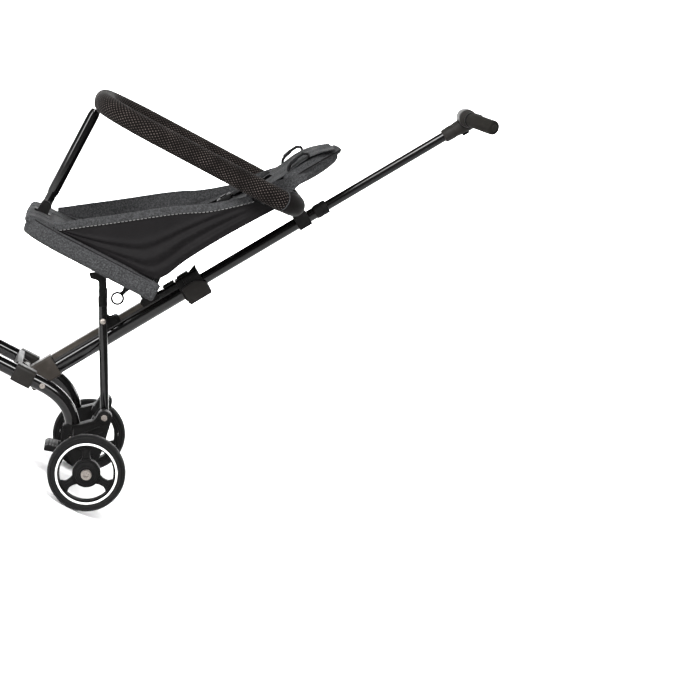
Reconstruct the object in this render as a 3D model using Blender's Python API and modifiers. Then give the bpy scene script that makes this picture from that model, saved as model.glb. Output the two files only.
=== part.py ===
"""Folding stroller with a centre pole, a T-handle and a padded bumper bar.

Places in the side view are (x, z): x from the rear axle, growing towards the handle, and z up
from the ground.  The seat faces -X.  The child's left is -Y.

The frame is a scissor.  The struts turn on the rear brackets, the pole turns on the struts, and
the foot of the pole slides forward along the base tubes in a carriage.  The seat hangs on the
pole, and the heads of the struts slide in two slotted rails under it.
"""

import math

import bmesh
import bpy
from mathutils import Matrix, Vector

# Overall places, in metres
REAR_AXLE_X = 0.04465
REAR_AXLE_Z = 0.075
GAP = 0.0003
RUN = 0.0004

# Wheels
REAR_WHEEL_R = 0.075
REAR_WHEEL_Y = 0.200
REAR_TYRE_HALF = 0.015
FRONT_WHEEL_R = 0.068
FRONT_TYRE_HALF = 0.013
STEM_X = -0.452
STEM_Y = 0.135
CASTER_TRAIL = 0.028
SPOKE_ANGLE = math.radians(118.0)
WHEEL_STEPS = 20
AXLE_R = 0.006

# Base tubes
BASE_TUBE_R = 0.014
BASE_TUBE_Y = 0.092
BASE_TUBE_Z = 0.170

# Scissor: strut foot, crossing and pole foot make two equal arms
STRUT_FOOT = (-0.012, 0.170)
CROSSING = (-0.100, 0.332)
POLE_FOOT = (-0.188, 0.170)
STRUT_R = 0.0085
STRUT_Y = 0.062
STRUT_HEAD = 0.288
STRUT_FLAT = 0.226
BLADE_HALF = 0.0075
RAIL_HALF = 0.0118
PIVOT_R = 0.004

# Pole, measured along its axis (s) and towards its front face (n)
POLE_ANGLE = math.radians(58.7)
POLE_START = (-0.1585, 0.1645)
MAIN_ROUND_R = 0.016
MAIN_BOX_HALF = 0.0115
MAIN_FRONT_N = 0.0235
MAIN_TOP_S = 0.345
INNER_R = 0.012
INNER_TOP_S = 0.650
HANDLE_R = 0.0098
HANDLE_BOTTOM_S = 0.420
HANDLE_TOP_S = 0.958
T_BAR_S = 0.992
T_BAR_N = 0.009

# Seat
HINGE_S = 0.268
HINGE_N = 0.030
SEAT_FRONT_X = -0.333
SEAT_REAR_X = -0.046
SEAT_HALF = 0.160
SEAT_BOTTOM_Z = 0.428
BOARD_Z = 0.4340
BOARD_TOP_Z = 0.4372
SEAT_TOP_Z = 0.4572
RAIL_FRONT_X = -0.264
RAIL_REAR_X = -0.128

# Bumper bar
BUMPER_Z = 0.709
BUMPER_REAR_X = 0.119
BUMPER_FRONT_X = -0.294
BUMPER_Y = 0.178
FOAM_R = 0.0205
CORE_R = 0.008
POST_X = -0.301
POST_PIVOT_Z = 0.476
POST_TOP_Z = 0.687

# Buckle's place on the line of the back
BUCKLE = (0.0341, 0.632)

# Pull ring under the seat
RING_PIVOT = (-0.088, 0.404)
RING_Y = -0.035

BLACK = (0.012, 0.012, 0.013)
DARK = (0.028, 0.028, 0.030)
GREY = (0.075, 0.078, 0.082)
SILVER = (0.62, 0.60, 0.58)
WHITE = (0.86, 0.86, 0.85)
CHARCOAL = (0.045, 0.045, 0.050)
MELANGE = (0.060, 0.064, 0.068)


def new_collection(name):
    """Makes a collection in the scene and returns it."""
    collection = bpy.data.collections.new(name)
    bpy.context.scene.collection.children.link(collection)
    return collection


def new_material(name, colour, roughness, metallic=0.0):
    """A Principled material with a plain colour."""
    material = bpy.data.materials.new(name)
    material.use_nodes = True
    shader = material.node_tree.nodes["Principled BSDF"]
    shader.inputs["Base Color"].default_value = (*colour, 1.0)
    shader.inputs["Roughness"].default_value = roughness
    shader.inputs["Metallic"].default_value = metallic
    material.diffuse_color = (*colour, 1.0)
    return material


for leftover in list(bpy.data.objects):
    bpy.data.objects.remove(leftover, do_unlink=True)

PARTS = new_collection("stroller")
CUTTERS = new_collection("cutters")

TUBE_BLACK = new_material("gloss_black_tube", BLACK, 0.22, 0.3)
PLASTIC = new_material("black_plastic", DARK, 0.48)
GREY_PLASTIC = new_material("grey_plastic", GREY, 0.55)
STEEL = new_material("steel", SILVER, 0.28, 1.0)
TYRE = new_material("tyre", DARK, 0.75)
RIM = new_material("rim", WHITE, 0.4)
FOAM = new_material("mesh_foam", CHARCOAL, 0.85)
GUSSET_CLOTH = new_material("charcoal_cloth", CHARCOAL, 0.8)
MELANGE_CLOTH = new_material("melange_cloth", MELANGE, 0.9)

POLE_DIR = Vector((math.cos(POLE_ANGLE), 0.0, math.sin(POLE_ANGLE)))
POLE_FRONT = Vector((-math.sin(POLE_ANGLE), 0.0, math.cos(POLE_ANGLE)))
STRUT_LENGTH = math.dist(STRUT_FOOT, CROSSING)
STRUT_DIR = Vector(((CROSSING[0] - STRUT_FOOT[0]) / STRUT_LENGTH, 0.0,
                    (CROSSING[1] - STRUT_FOOT[1]) / STRUT_LENGTH))


def place(x, z, y=0.0):
    """World place of a side-view place."""
    return Vector((REAR_AXLE_X + x, y, z))


def on_pole(s, n=0.0, y=0.0):
    """World place at s along the pole's axis, n in front of it and y across."""
    return place(*POLE_START, y) + POLE_DIR * s + POLE_FRONT * n


def frame(origin, along, across):
    """Matrix whose X runs along, whose Y runs across, at the origin."""
    third = along.cross(across)
    turn = Matrix((along, across, third)).transposed().to_4x4()
    return Matrix.Translation(origin) @ turn


ACROSS = Vector((0.0, 1.0, 0.0))
AHEAD = Vector((1.0, 0.0, 0.0))


def side_frame(x=0.0, z=0.0, y=0.0):
    """Frame with X rearwards and Z up."""
    return frame(place(x, z, y), AHEAD, ACROSS)


def pole_frame(s=0.0, n=0.0, y=0.0):
    """Frame with X along the pole and Z to its front."""
    return frame(on_pole(s, n, y), POLE_DIR, ACROSS)


def pole_spindle():
    """Frame at the pole's start whose Z runs along the pole."""
    turn = POLE_DIR.to_track_quat("Z", "Y").to_matrix().to_4x4()
    return Matrix.Translation(on_pole(0.0)) @ turn


def strut_frame(along=0.0, y=0.0):
    """Frame with X along a strut and Z to its front."""
    return frame(place(*STRUT_FOOT, y) + STRUT_DIR * along, STRUT_DIR, ACROSS)


def rounded(corners, steps=4):
    """Outline through corners (u, v, radius), each rounded by an arc."""
    points = []
    for i, (u, v, radius) in enumerate(corners):
        here = Vector((u, v))
        before = Vector(corners[i - 1][:2]) - here
        after = Vector(corners[(i + 1) % len(corners)][:2]) - here
        if radius <= 0.0:
            points.append((u, v))
            continue
        half = before.angle(after) / 2.0
        reach = min(radius / math.tan(half), 0.49 * before.length, 0.49 * after.length)
        true_radius = reach * math.tan(half)
        centre = here + (before.normalized() + after.normalized()).normalized() * (
            true_radius / math.sin(half))
        start = here + before.normalized() * reach - centre
        end = here + after.normalized() * reach - centre
        turn = start.angle_signed(end)
        for k in range(steps + 1):
            angle = -turn * k / steps
            points.append((centre.x + start.x * math.cos(angle) - start.y * math.sin(angle),
                           centre.y + start.x * math.sin(angle) + start.y * math.cos(angle)))
    return points


def round_box(u0, v0, u1, v1, radius, steps=3):
    """Outline of a rectangle with rounded corners."""
    return rounded([(u0, v0, radius), (u1, v0, radius), (u1, v1, radius), (u0, v1, radius)], steps)


def circle(u, v, radius, steps=20):
    """Outline of a circle."""
    return [(u + radius * math.cos(2 * math.pi * k / steps),
             v + radius * math.sin(2 * math.pi * k / steps)) for k in range(steps)]


def mesh_from_curve(curve_object):
    """Replaces a curve object by a mesh object with welded caps."""
    name = curve_object.name
    curve_object.name = f"{name}_curve"
    depsgraph = bpy.context.evaluated_depsgraph_get()
    mesh = bpy.data.meshes.new_from_object(curve_object.evaluated_get(depsgraph))
    bm = bmesh.new()
    bm.from_mesh(mesh)
    bmesh.ops.remove_doubles(bm, verts=bm.verts, dist=0.00001)
    bmesh.ops.recalc_face_normals(bm, faces=bm.faces)
    bm.to_mesh(mesh)
    bm.free()
    made = bpy.data.objects.new(name, mesh)
    made.matrix_world = curve_object.matrix_world.copy()
    PARTS.objects.link(made)
    bpy.data.objects.remove(curve_object, do_unlink=True)
    return made


def bake_place(made):
    """Moves an object's place into its mesh."""
    made.data.transform(made.matrix_world)
    made.matrix_world = Matrix.Identity(4)
    return made


def plate(name, loops, thickness, where, lengthways=False):
    """Flat outline, with holes, given a thickness across it.

    The outline lies in the X and Z of the frame, or in its Y and Z when lengthways.
    """
    curve = bpy.data.curves.new(name, "CURVE")
    curve.dimensions = "2D"
    curve.fill_mode = "BOTH"
    curve.extrude = thickness / 2.0
    for loop in loops:
        spline = curve.splines.new("POLY")
        spline.points.add(len(loop) - 1)
        for point, (u, v) in zip(spline.points, loop):
            point.co = (u, v, 0.0, 1.0)
        spline.use_cyclic_u = True
    made = bpy.data.objects.new(name, curve)
    PARTS.objects.link(made)
    if lengthways:
        turn = Matrix(((0, 0, 1), (1, 0, 0), (0, 1, 0))).to_4x4()
    else:
        turn = Matrix.Rotation(math.pi / 2.0, 4, "X")
    made.matrix_world = where @ turn
    bpy.context.view_layer.update()
    return bake_place(mesh_from_curve(made))


def tube(name, points, radius, sides=12, closed=False):
    """Round bar through world places, with flat ends."""
    curve = bpy.data.curves.new(name, "CURVE")
    curve.dimensions = "3D"
    curve.bevel_depth = radius
    curve.bevel_resolution = (sides - 4) // 2
    curve.use_fill_caps = not closed
    curve.twist_mode = "MINIMUM"
    spline = curve.splines.new("POLY")
    spline.points.add(len(points) - 1)
    for point, co in zip(spline.points, points):
        point.co = (*co, 1.0)
    spline.use_cyclic_u = closed
    made = bpy.data.objects.new(name, curve)
    PARTS.objects.link(made)
    bpy.context.view_layer.update()
    return bake_place(mesh_from_curve(made))


def rod(name, middle, direction, length, radius, sides=20):
    """Straight round bar about its middle."""
    bm = bmesh.new()
    bmesh.ops.create_cone(bm, cap_ends=True, segments=sides, radius1=radius, radius2=radius,
                          depth=length)
    turn = direction.to_track_quat("Z", "Y").to_matrix().to_4x4()
    return from_bmesh(name, bm, Matrix.Translation(middle) @ turn)


def from_bmesh(name, bm, where):
    """Mesh object from a bmesh that is placed by a matrix."""
    bmesh.ops.transform(bm, matrix=where, verts=bm.verts)
    mesh = bpy.data.meshes.new(name)
    bm.to_mesh(mesh)
    bm.free()
    made = bpy.data.objects.new(name, mesh)
    PARTS.objects.link(made)
    return made


def block(name, low, high, where, bevel=0.002, segments=2):
    """Box between two corners of a frame, with rounded edges."""
    size = Vector(high) - Vector(low)
    middle = (Vector(high) + Vector(low)) / 2.0
    bm = bmesh.new()
    bmesh.ops.create_cube(bm, size=1.0)
    bmesh.ops.scale(bm, vec=size, verts=bm.verts)
    bmesh.ops.translate(bm, vec=middle, verts=bm.verts)
    made = from_bmesh(name, bm, where)
    if bevel:
        soften(made, bevel, segments)
    return made


def soften(made, width, segments=2):
    """Rounds the edges of a mesh object."""
    bevel = made.modifiers.new("soft_edges", "BEVEL")
    bevel.width = width
    bevel.segments = segments
    bevel.limit_method = "ANGLE"
    bevel.angle_limit = math.radians(40.0)


def lathe(name, profile, where, steps=32, closed=True):
    """Turned shape about the Z of a frame.

    The profile's (radius, height) run from top to bottom on the outer side.
    """
    bm = bmesh.new()
    verts = [bm.verts.new((r, 0.0, h)) for r, h in profile]
    for a, b in zip(verts, verts[1:]):
        bm.edges.new((a, b))
    if closed:
        bm.edges.new((verts[-1], verts[0]))
    mesh = bpy.data.meshes.new(name)
    bm.to_mesh(mesh)
    bm.free()
    made = bpy.data.objects.new(name, mesh)
    PARTS.objects.link(made)
    made.matrix_world = where
    screw = made.modifiers.new("turn", "SCREW")
    screw.steps = steps
    screw.render_steps = steps
    screw.use_merge_vertices = True
    screw.merge_threshold = 0.00001
    return made


AXLE_TURN = Matrix.Rotation(-math.pi / 2.0, 4, "X")


def cross_frame(x, z, y=0.0):
    """Frame at a side-view place whose Z runs along +Y."""
    return Matrix.Translation(place(x, z, y)) @ AXLE_TURN


def cut(made, cutter, operation="DIFFERENCE"):
    """Cuts one object by another, which is put away among the cutters."""
    boolean = made.modifiers.new(cutter.name, "BOOLEAN")
    boolean.operation = operation
    boolean.solver = "EXACT"
    boolean.object = cutter
    if cutter.name in PARTS.objects:
        PARTS.objects.unlink(cutter)
        CUTTERS.objects.link(cutter)
    cutter.hide_render = True
    cutter.display_type = "WIRE"
    return made


def add(made, other):
    """Joins another shape to an object as one body."""
    return cut(made, other, "UNION")


def settle(made):
    """Applies the modifiers, so that the object can be a cutter or be cut again."""
    depsgraph = bpy.context.evaluated_depsgraph_get()
    mesh = bpy.data.meshes.new_from_object(made.evaluated_get(depsgraph))
    mesh.transform(made.matrix_world)
    made.modifiers.clear()
    made.data = mesh
    made.matrix_world = Matrix.Identity(4)
    return made


def pivot(name, where, parent=None):
    """Empty on a joint's axis that carries the pieces of one moving body."""
    empty = bpy.data.objects.new(name, None)
    empty.empty_display_size = 0.02
    PARTS.objects.link(empty)
    empty.location = where
    if parent is not None:
        empty.parent = parent
        empty.location = Vector(where) - world_place(parent)
    return empty


def world_place(empty):
    """World place of an unturned empty."""
    where = Vector(empty.location)
    while empty.parent is not None:
        empty = empty.parent
        where += Vector(empty.location)
    return where


def finish(made, carrier, material, smooth=35.0):
    """Gives an object its material, its origin on the carrier's axis and its parent."""
    settle(made)
    origin = world_place(carrier)
    made.data.transform(Matrix.Translation(-origin))
    made.parent = carrier
    made.data.materials.clear()
    made.data.materials.append(material)
    made.data.shade_smooth()
    made.data.set_sharp_from_angle(angle=math.radians(smooth))
    return made


def bezier(p0, p1, p2, p3, steps):
    """Points along a cubic curve, without its first point."""
    points = []
    for k in range(1, steps + 1):
        t = k / steps
        u = 1.0 - t
        points.append(p0 * u ** 3 + p1 * 3 * u * u * t + p2 * 3 * u * t * t + p3 * t ** 3)
    return points


def base_tube_route(side):
    """Centre line of a base tube from the front housing to the rear bracket."""
    y = side * BASE_TUBE_Y
    start = place(-0.4445, BASE_TUBE_Z, side * 0.1235)
    points = [start]
    points += bezier(start, place(-0.436, BASE_TUBE_Z, side * 0.108),
                     place(-0.424, BASE_TUBE_Z, y), place(-0.404, BASE_TUBE_Z, y), 5)
    points.append(place(-0.150, BASE_TUBE_Z, y))
    points += bezier(place(-0.150, BASE_TUBE_Z, y), place(-0.105, BASE_TUBE_Z, y),
                     place(-0.075, 0.1553, y), place(-0.0575, 0.125, y), 6)
    points.append(place(-0.046, 0.1051, y))
    return points


def make_base(carrier):
    """Base tubes, rear brackets, axle, footrest and front housings."""
    for word, side in SIDES:
        route = base_tube_route(side)
        made = tube(f"base_tube_{word}", route, BASE_TUBE_R, 12)
        hole = rod(f"stop_hole_{word}", place(-0.147, BASE_TUBE_Z, side * BASE_TUBE_Y), ACROSS,
                   0.05, 0.0034, 12)
        finish(cut(made, hole), carrier, TUBE_BLACK)
        make_stop_bolt(carrier, word, side)
        make_rear_bracket(carrier, word, side, route)
        make_front_housing(carrier, word, side, route)
    make_axle(carrier)
    make_footrest(carrier)


def make_stop_bolt(carrier, word, side):
    """Bolt through a base tube that stops the sliding carriage."""
    y = side * BASE_TUBE_Y
    bolt = rod(f"stop_bolt_{word}", place(-0.147, BASE_TUBE_Z, y), ACROSS, 0.029, 0.003, 12)
    head = rod(f"stop_head_{word}", place(-0.147, BASE_TUBE_Z, y + side * 0.0160), ACROSS,
               0.0032, 0.0055, 16)
    nut = rod(f"stop_nut_{word}", place(-0.147, BASE_TUBE_Z, y - side * 0.0160), ACROSS,
              0.0032, 0.0050, 6)
    finish(add(add(bolt, head), nut), carrier, STEEL)


def make_rear_bracket(carrier, word, side, route):
    """Moulded bracket that joins a base tube, a strut and the rear axle."""
    outline = rounded([
        (-0.076, 0.120, 0.003), (-0.046, 0.1375, 0.008), (-0.0262, 0.156, 0.012),
        (-0.0245, 0.1825, 0.0122), (0.0005, 0.1825, 0.0122), (0.0055, 0.160, 0.012),
        (0.015, 0.110, 0.020), (0.020, 0.055, 0.0185), (-0.020, 0.055, 0.0185),
        (-0.066, 0.090, 0.014)], 2)
    body = plate(f"rear_bracket_{word}", [outline], 0.030, side_frame(y=side * BASE_TUBE_Y))
    soften(body, 0.0018, 1)
    outer = side * (BASE_TUBE_Y + 0.015)
    sleeve = rod(f"axle_sleeve_{word}", place(0.0, REAR_AXLE_Z, side * 0.1425), ACROSS, 0.0790,
                 0.0105, 14)
    add(body, sleeve)
    cheek_y = side * 0.0505
    cheek = plate(f"strut_cheek_{word}", [rounded([
        (-0.0245, 0.1825, 0.0122), (0.0005, 0.1825, 0.0122), (0.003, 0.145, 0.004),
        (-0.030, 0.145, 0.004)], 2)], 0.0035, side_frame(y=cheek_y))
    add(body, cheek)
    floor = block(f"strut_floor_{word}", (-0.030, 0.0, 0.144), (0.004, 0.032, 0.156),
                  side_frame(y=side * 0.0487 if side > 0 else -0.0807), bevel=0)
    add(body, floor)
    rib = plate(f"bracket_rib_{word}", [rounded([
        (-0.052, 0.102, 0.004), (-0.030, 0.118, 0.004), (-0.006, 0.148, 0.004),
        (0.004, 0.120, 0.006), (0.008, 0.098, 0.004), (-0.030, 0.094, 0.006)], 1)], 0.003,
        side_frame(y=outer))
    cut(body, rib)
    socket = tube(f"socket_{word}", route[-4:] + [route[-1] * 1.02 - route[-2] * 0.02],
                  BASE_TUBE_R + GAP, 12)
    cut(body, socket)
    bore = rod(f"axle_bore_{word}", place(0.0, REAR_AXLE_Z, side * 0.12), ACROSS, 0.16,
               AXLE_R + GAP, 12)
    cut(body, bore)
    hole = rod(f"strut_hole_{word}", place(*STRUT_FOOT, side * 0.08), ACROSS, 0.08,
               PIVOT_R + GAP, 10)
    cut(body, hole)
    finish(body, carrier, PLASTIC)
    bolt = rod(f"strut_bolt_{word}", place(*STRUT_FOOT, side * 0.0785), ACROSS, 0.0640,
               PIVOT_R, 12)
    head = rod(f"strut_bolt_head_{word}", place(*STRUT_FOOT, side * 0.1093), ACROSS, 0.0040,
               0.0060, 16)
    nut = rod(f"strut_bolt_nut_{word}", place(*STRUT_FOOT, side * 0.0467), ACROSS, 0.0036,
              0.0062, 6)
    finish(add(add(bolt, head), nut), carrier, STEEL)


def make_axle(carrier):
    """Steel rear axle with a round head outside each wheel."""
    axle = rod("rear_axle", place(0.0, REAR_AXLE_Z), ACROSS, 0.4360, AXLE_R, 12)
    for word, side in SIDES:
        head = rod(f"axle_head_{word}", place(0.0, REAR_AXLE_Z, side * 0.2200), ACROSS, 0.0044,
                   0.0105, 16)
        soften(head, 0.0012, 1)
        add(axle, settle(head))
    finish(axle, carrier, STEEL)


def make_front_housing(carrier, word, side, route):
    """Swivel housing at the front end of a base tube."""
    where = Matrix.Translation(place(STEM_X, 0.0, side * STEM_Y))
    housing = lathe(f"swivel_housing_{word}", [
        (0.0, 0.1950), (0.010, 0.1944), (0.017, 0.1915), (0.0205, 0.1860), (0.0210, 0.1500),
        (0.0190, 0.1482), (0.0, 0.1482)], where, 16, closed=False)
    settle(housing)
    start = route[0] + (route[0] - route[1]) * 0.05
    socket = tube(f"front_socket_{word}", [start] + route[1:5], BASE_TUBE_R + GAP, 12)
    collar = tube(f"front_collar_{word}", route[0:4], BASE_TUBE_R + 0.0035, 12)
    add(housing, collar)
    cut(housing, socket)
    bore = rod(f"stem_bore_{word}", place(STEM_X, 0.1610, side * STEM_Y), Vector((0, 0, 1)),
               0.032, 0.0064, 12)
    cut(housing, bore)
    finish(housing, carrier, PLASTIC)


def make_footrest(carrier):
    """Moulded cross member between the base tubes, ribbed where the feet rest."""
    tread = block("footrest", (-0.446, -0.098, 0.158), (-0.410, 0.098, 0.173),
                  side_frame(), 0.004, 1)
    settle(tread)
    for k in range(4):
        x = -0.4385 + k * 0.0065
        groove = block(f"tread_groove_{k}", (x, -0.068, 0.1718), (x + 0.0018, 0.068, 0.175),
                       side_frame(), bevel=0)
        cut(tread, groove)
    for word, side in SIDES:
        route = base_tube_route(side)
        cut(tread, tube(f"footrest_cut_{word}", route[:7], BASE_TUBE_R + GAP, 12))
        wide = route[:4] + [route[3] * 1.2 - route[2] * 0.2]
        cut(tread, tube(f"footrest_relief_{word}", wide, BASE_TUBE_R + 0.0042, 12))
    finish(tread, carrier, PLASTIC)


def window(start, end, inner, outer, spoke):
    """Outline of one gap between two spokes that flare towards the rim."""
    points = []
    steps = 2
    for radius, width, order in ((inner, spoke, 1), (outer, spoke * 1.55, -1)):
        lean = math.asin(min(0.9, width / 2.0 / radius))
        for k in range(steps + 1):
            share = k / steps if order > 0 else 1.0 - k / steps
            angle = start + lean + (end - start - 2.0 * lean) * share
            pinch = 0.0025 if k in (0, steps) else 0.0
            reach = radius + (pinch if order > 0 else -pinch)
            points.append((reach * math.cos(angle), reach * math.sin(angle)))
    return points


def make_wheel(name, carrier, where_x, where_z, y, radius, half, bore):
    """Tyre and spoked rim of one wheel."""
    seat = 0.80 * radius
    where = cross_frame(where_x, where_z, y)
    profile = []
    for k in range(5):
        angle = math.pi * k / 4
        profile.append((radius - 0.45 * half * (1.0 - math.sin(angle)) ** 1.5,
                        half * math.cos(angle)))
    profile += [(seat, -half), (seat, half)]
    tyre = lathe(f"{name}_tyre", profile, where, WHEEL_STEPS)
    outer = seat - GAP
    flat = 0.70 * radius
    ring = lathe(f"{name}_rim", [(outer, half - 0.001), (outer, 0.001 - half),
                                 (flat, 0.001 - half), (flat - 0.0022, 0.0),
                                 (flat, half - 0.001)], where, WHEEL_STEPS)
    settle(ring)
    hub_r = 0.36 * radius
    windows = [window(SPOKE_ANGLE + k * math.tau / 3, SPOKE_ANGLE + (k + 1) * math.tau / 3,
                      hub_r - 0.0012, flat - 0.0030, 0.017) for k in range(3)]
    disc = plate(f"{name}_spokes", [circle(0, 0, flat + 0.0008, 18)] + windows, 0.012,
                 side_frame(where_x, where_z, y))
    hub = rod(f"{name}_hub", place(where_x, where_z, y), ACROSS, 2 * half + 0.0040, hub_r, 12)
    soften(hub, 0.002, 1)
    settle(hub)
    drilling = rod(f"{name}_bore", place(where_x, where_z, y), ACROSS, 4 * half, bore + RUN, 10)
    cut(add(add(ring, disc), hub), drilling)
    finish(tyre, carrier, TYRE)
    finish(ring, carrier, RIM)


def make_brake(carrier):
    """Foot pedal on a sleeve that turns about the rear axle."""
    sleeve = rod("brake_pedal", place(0.0, REAR_AXLE_Z), ACROSS, 0.1480, 0.0100, 16)
    outline = rounded([
        (-0.082, 0.046, 0.003), (-0.040, 0.0585, 0.0), (0.0025, 0.0690, 0.0),
        (0.0025, 0.0800, 0.0), (-0.040, 0.0685, 0.0), (-0.080, 0.0600, 0.004),
        (-0.0850, 0.0540, 0.002)], 3)
    arm = plate("brake_arm", [outline], 0.080, side_frame())
    relief = block("brake_relief", (-0.058, -0.022, 0.040), (-0.014, 0.022, 0.090),
                   side_frame(), 0.004, 2)
    cut(arm, settle(relief))
    bore = rod("brake_bore", place(0.0, REAR_AXLE_Z), ACROSS, 0.20, AXLE_R + RUN, 16)
    finish(cut(add(sleeve, settle(arm)), bore), carrier, PLASTIC)


def make_fork(carrier, word, side):
    """Caster fork with its stem and axle pin."""
    y = side * STEM_Y
    wheel_x = STEM_X + CASTER_TRAIL
    outline = rounded([
        (STEM_X - 0.016, 0.1470, 0.002), (STEM_X - 0.016, 0.118, 0.02),
        (wheel_x - 0.011, FRONT_WHEEL_R - 0.011, 0.0105),
        (wheel_x + 0.011, FRONT_WHEEL_R - 0.011, 0.0105),
        (wheel_x + 0.012, 0.105, 0.03), (wheel_x - 0.006, 0.1470, 0.004)], 2)
    fork = plate(f"front_fork_{word}", [outline], 0.040, side_frame(y=y))
    soften(fork, 0.002, 1)
    settle(fork)
    clear = rod(f"fork_clear_{word}", place(wheel_x, FRONT_WHEEL_R, y), ACROSS, 0.0320,
                FRONT_WHEEL_R + 0.0040, 24)
    cut(fork, clear)
    stem = rod(f"stem_{word}", place(STEM_X, 0.1590, y), Vector((0, 0, 1)), 0.0300, 0.0060, 12)
    add(fork, stem)
    pin = rod(f"front_axle_{word}", place(wheel_x, FRONT_WHEEL_R, y), ACROSS, 0.0430, 0.0040, 12)
    add(fork, pin)
    finish(fork, carrier, PLASTIC)


def make_struts(carrier):
    """Two struts with flattened slotted heads, and the pin where they cross the pole."""
    head_place = STRUT_DIR * STRUT_HEAD
    for word, side in SIDES:
        y = side * STRUT_Y
        foot = place(*STRUT_FOOT, y)
        lower = rod(f"strut_{word}", foot + STRUT_DIR * (STRUT_FLAT - 0.006) / 2.0, STRUT_DIR,
                    STRUT_FLAT + 0.006, STRUT_R, 16)
        for label, along in (("foot", 0.0), ("crossing", STRUT_LENGTH)):
            hole = rod(f"{label}_hole_{word}", foot + STRUT_DIR * along, ACROSS, 0.03,
                       PIVOT_R + GAP, 10)
            cut(lower, hole)
        finish(lower, carrier, TUBE_BLACK)
        blade_outline = rounded([
            (STRUT_FLAT + 0.0020, -0.0072, 0.001),
            (STRUT_HEAD + 0.0072, -0.0072, 0.0070), (STRUT_HEAD + 0.0072, 0.0075, 0.0070),
            (STRUT_HEAD - 0.008, 0.0085, 0.002), (STRUT_HEAD - 0.0085, 0.0260, 0.002),
            (STRUT_HEAD - 0.0195, 0.0225, 0.002), (STRUT_HEAD - 0.024, 0.0072, 0.004),
            (STRUT_FLAT + 0.0020, 0.0072, 0.001)], 2)
        blade = plate(f"strut_head_{word}", [blade_outline], 2 * BLADE_HALF, strut_frame(y=y))
        plug = rod(f"head_plug_{word}", foot + STRUT_DIR * (STRUT_FLAT + 0.0073), STRUT_DIR,
                   0.014, STRUT_R, 16)
        add(blade, plug)
        roller = rod(f"head_pin_{word}", foot + head_place, ACROSS, 0.0228, 0.0025, 12)
        finish(add(blade, roller), carrier, PLASTIC)
    pin = rod("scissor_pin", place(*CROSSING), ACROSS, 2 * 0.0712, PIVOT_R, 12)
    for word, side in SIDES:
        head = rod(f"pin_head_{word}", place(*CROSSING, side * 0.0733), ACROSS, 0.0044, 0.0058,
                   14)
        soften(head, 0.0010, 1)
        add(pin, settle(head))
    finish(pin, carrier, STEEL)


def main_outline(grow=0.0):
    """Cross-section of the main tube: a round back with a narrower box on its front."""
    radius = MAIN_ROUND_R + grow
    half = MAIN_BOX_HALF + grow
    front = MAIN_FRONT_N + grow
    centre = -0.0015
    meet = math.asin(half / radius)
    points = []
    for k in range(11):
        angle = meet + (2 * math.pi - 2 * meet) * k / 10
        points.append((radius * math.sin(angle), centre + radius * math.cos(angle)))
    corner = 0.004
    for sign in (-1, 1):
        for k in range(3):
            turn = math.pi / 2.0 * k / 2
            if sign > 0:
                turn = math.pi / 2.0 - turn
            points.append((sign * (half - corner + corner * math.cos(turn)),
                           front - corner + corner * math.sin(turn)))
    return points


def make_pole(carrier):
    """Main tube, telescoping stage and everything fixed to them."""
    length = MAIN_TOP_S - GAP
    hollow = [circle(0.0, 0.0, INNER_R + 0.0006, 20),
              round_box(-0.0085, 0.0150, 0.0085, 0.0205, 0.002, 2)]
    main_tube = plate("main_tube", [main_outline()] + hollow, length,
                      pole_frame(GAP + length / 2.0), lengthways=True)
    slot = block("pole_slot", (0.2665, -0.03, -0.0125), (0.2755, 0.03, -0.0085), pole_frame(),
                 bevel=0)
    finish(cut(main_tube, slot), carrier, TUBE_BLACK)

    knuckle = block("pole_knuckle", (-0.020, -0.0192, -0.0190), (0.045, 0.0192, 0.0262),
                    pole_frame(), 0.003, 1)
    settle(knuckle)
    eye = rod("knuckle_eye", place(*POLE_FOOT), ACROSS, 0.0376, 0.0098, 20)
    add(knuckle, eye)
    socket = plate("knuckle_socket", [main_outline(GAP)], 0.10, pole_frame(0.05), lengthways=True)
    cut(knuckle, socket)
    hole = rod("knuckle_hole", place(*POLE_FOOT), ACROSS, 0.08, PIVOT_R + GAP, 12)
    finish(cut(knuckle, hole), carrier, GREY_PLASTIC)

    make_saddle(carrier)
    make_seat_bracket(carrier)
    latch = block("latch_box", (0.304, -0.0110, MAIN_FRONT_N + GAP), (0.3295, 0.0110, 0.0290),
                  pole_frame(), 0.0018, 2)
    finish(latch, carrier, PLASTIC)
    make_clamp(carrier)

    top = (INNER_TOP_S - 0.300)
    inner = plate("inner_tube", [circle(0, 0, INNER_R, 18), circle(0, 0, INNER_R - 0.0014, 18)],
                  top, pole_frame(0.300 + top / 2.0), lengthways=True)
    finish(inner, carrier, TUBE_BLACK)
    along = pole_spindle()
    collar = lathe("end_collar", [
        (0.0118, 0.666), (0.0134, 0.6648), (0.0140, 0.662), (0.0140, 0.643), (0.0134, 0.640),
        (INNER_R + GAP, 0.638), (INNER_R + GAP, INNER_TOP_S + GAP),
        (HANDLE_R + RUN, INNER_TOP_S + GAP), (HANDLE_R + RUN, 0.666)], along, 16)
    finish(collar, carrier, PLASTIC)
    make_bumper_bracket(carrier)


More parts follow.
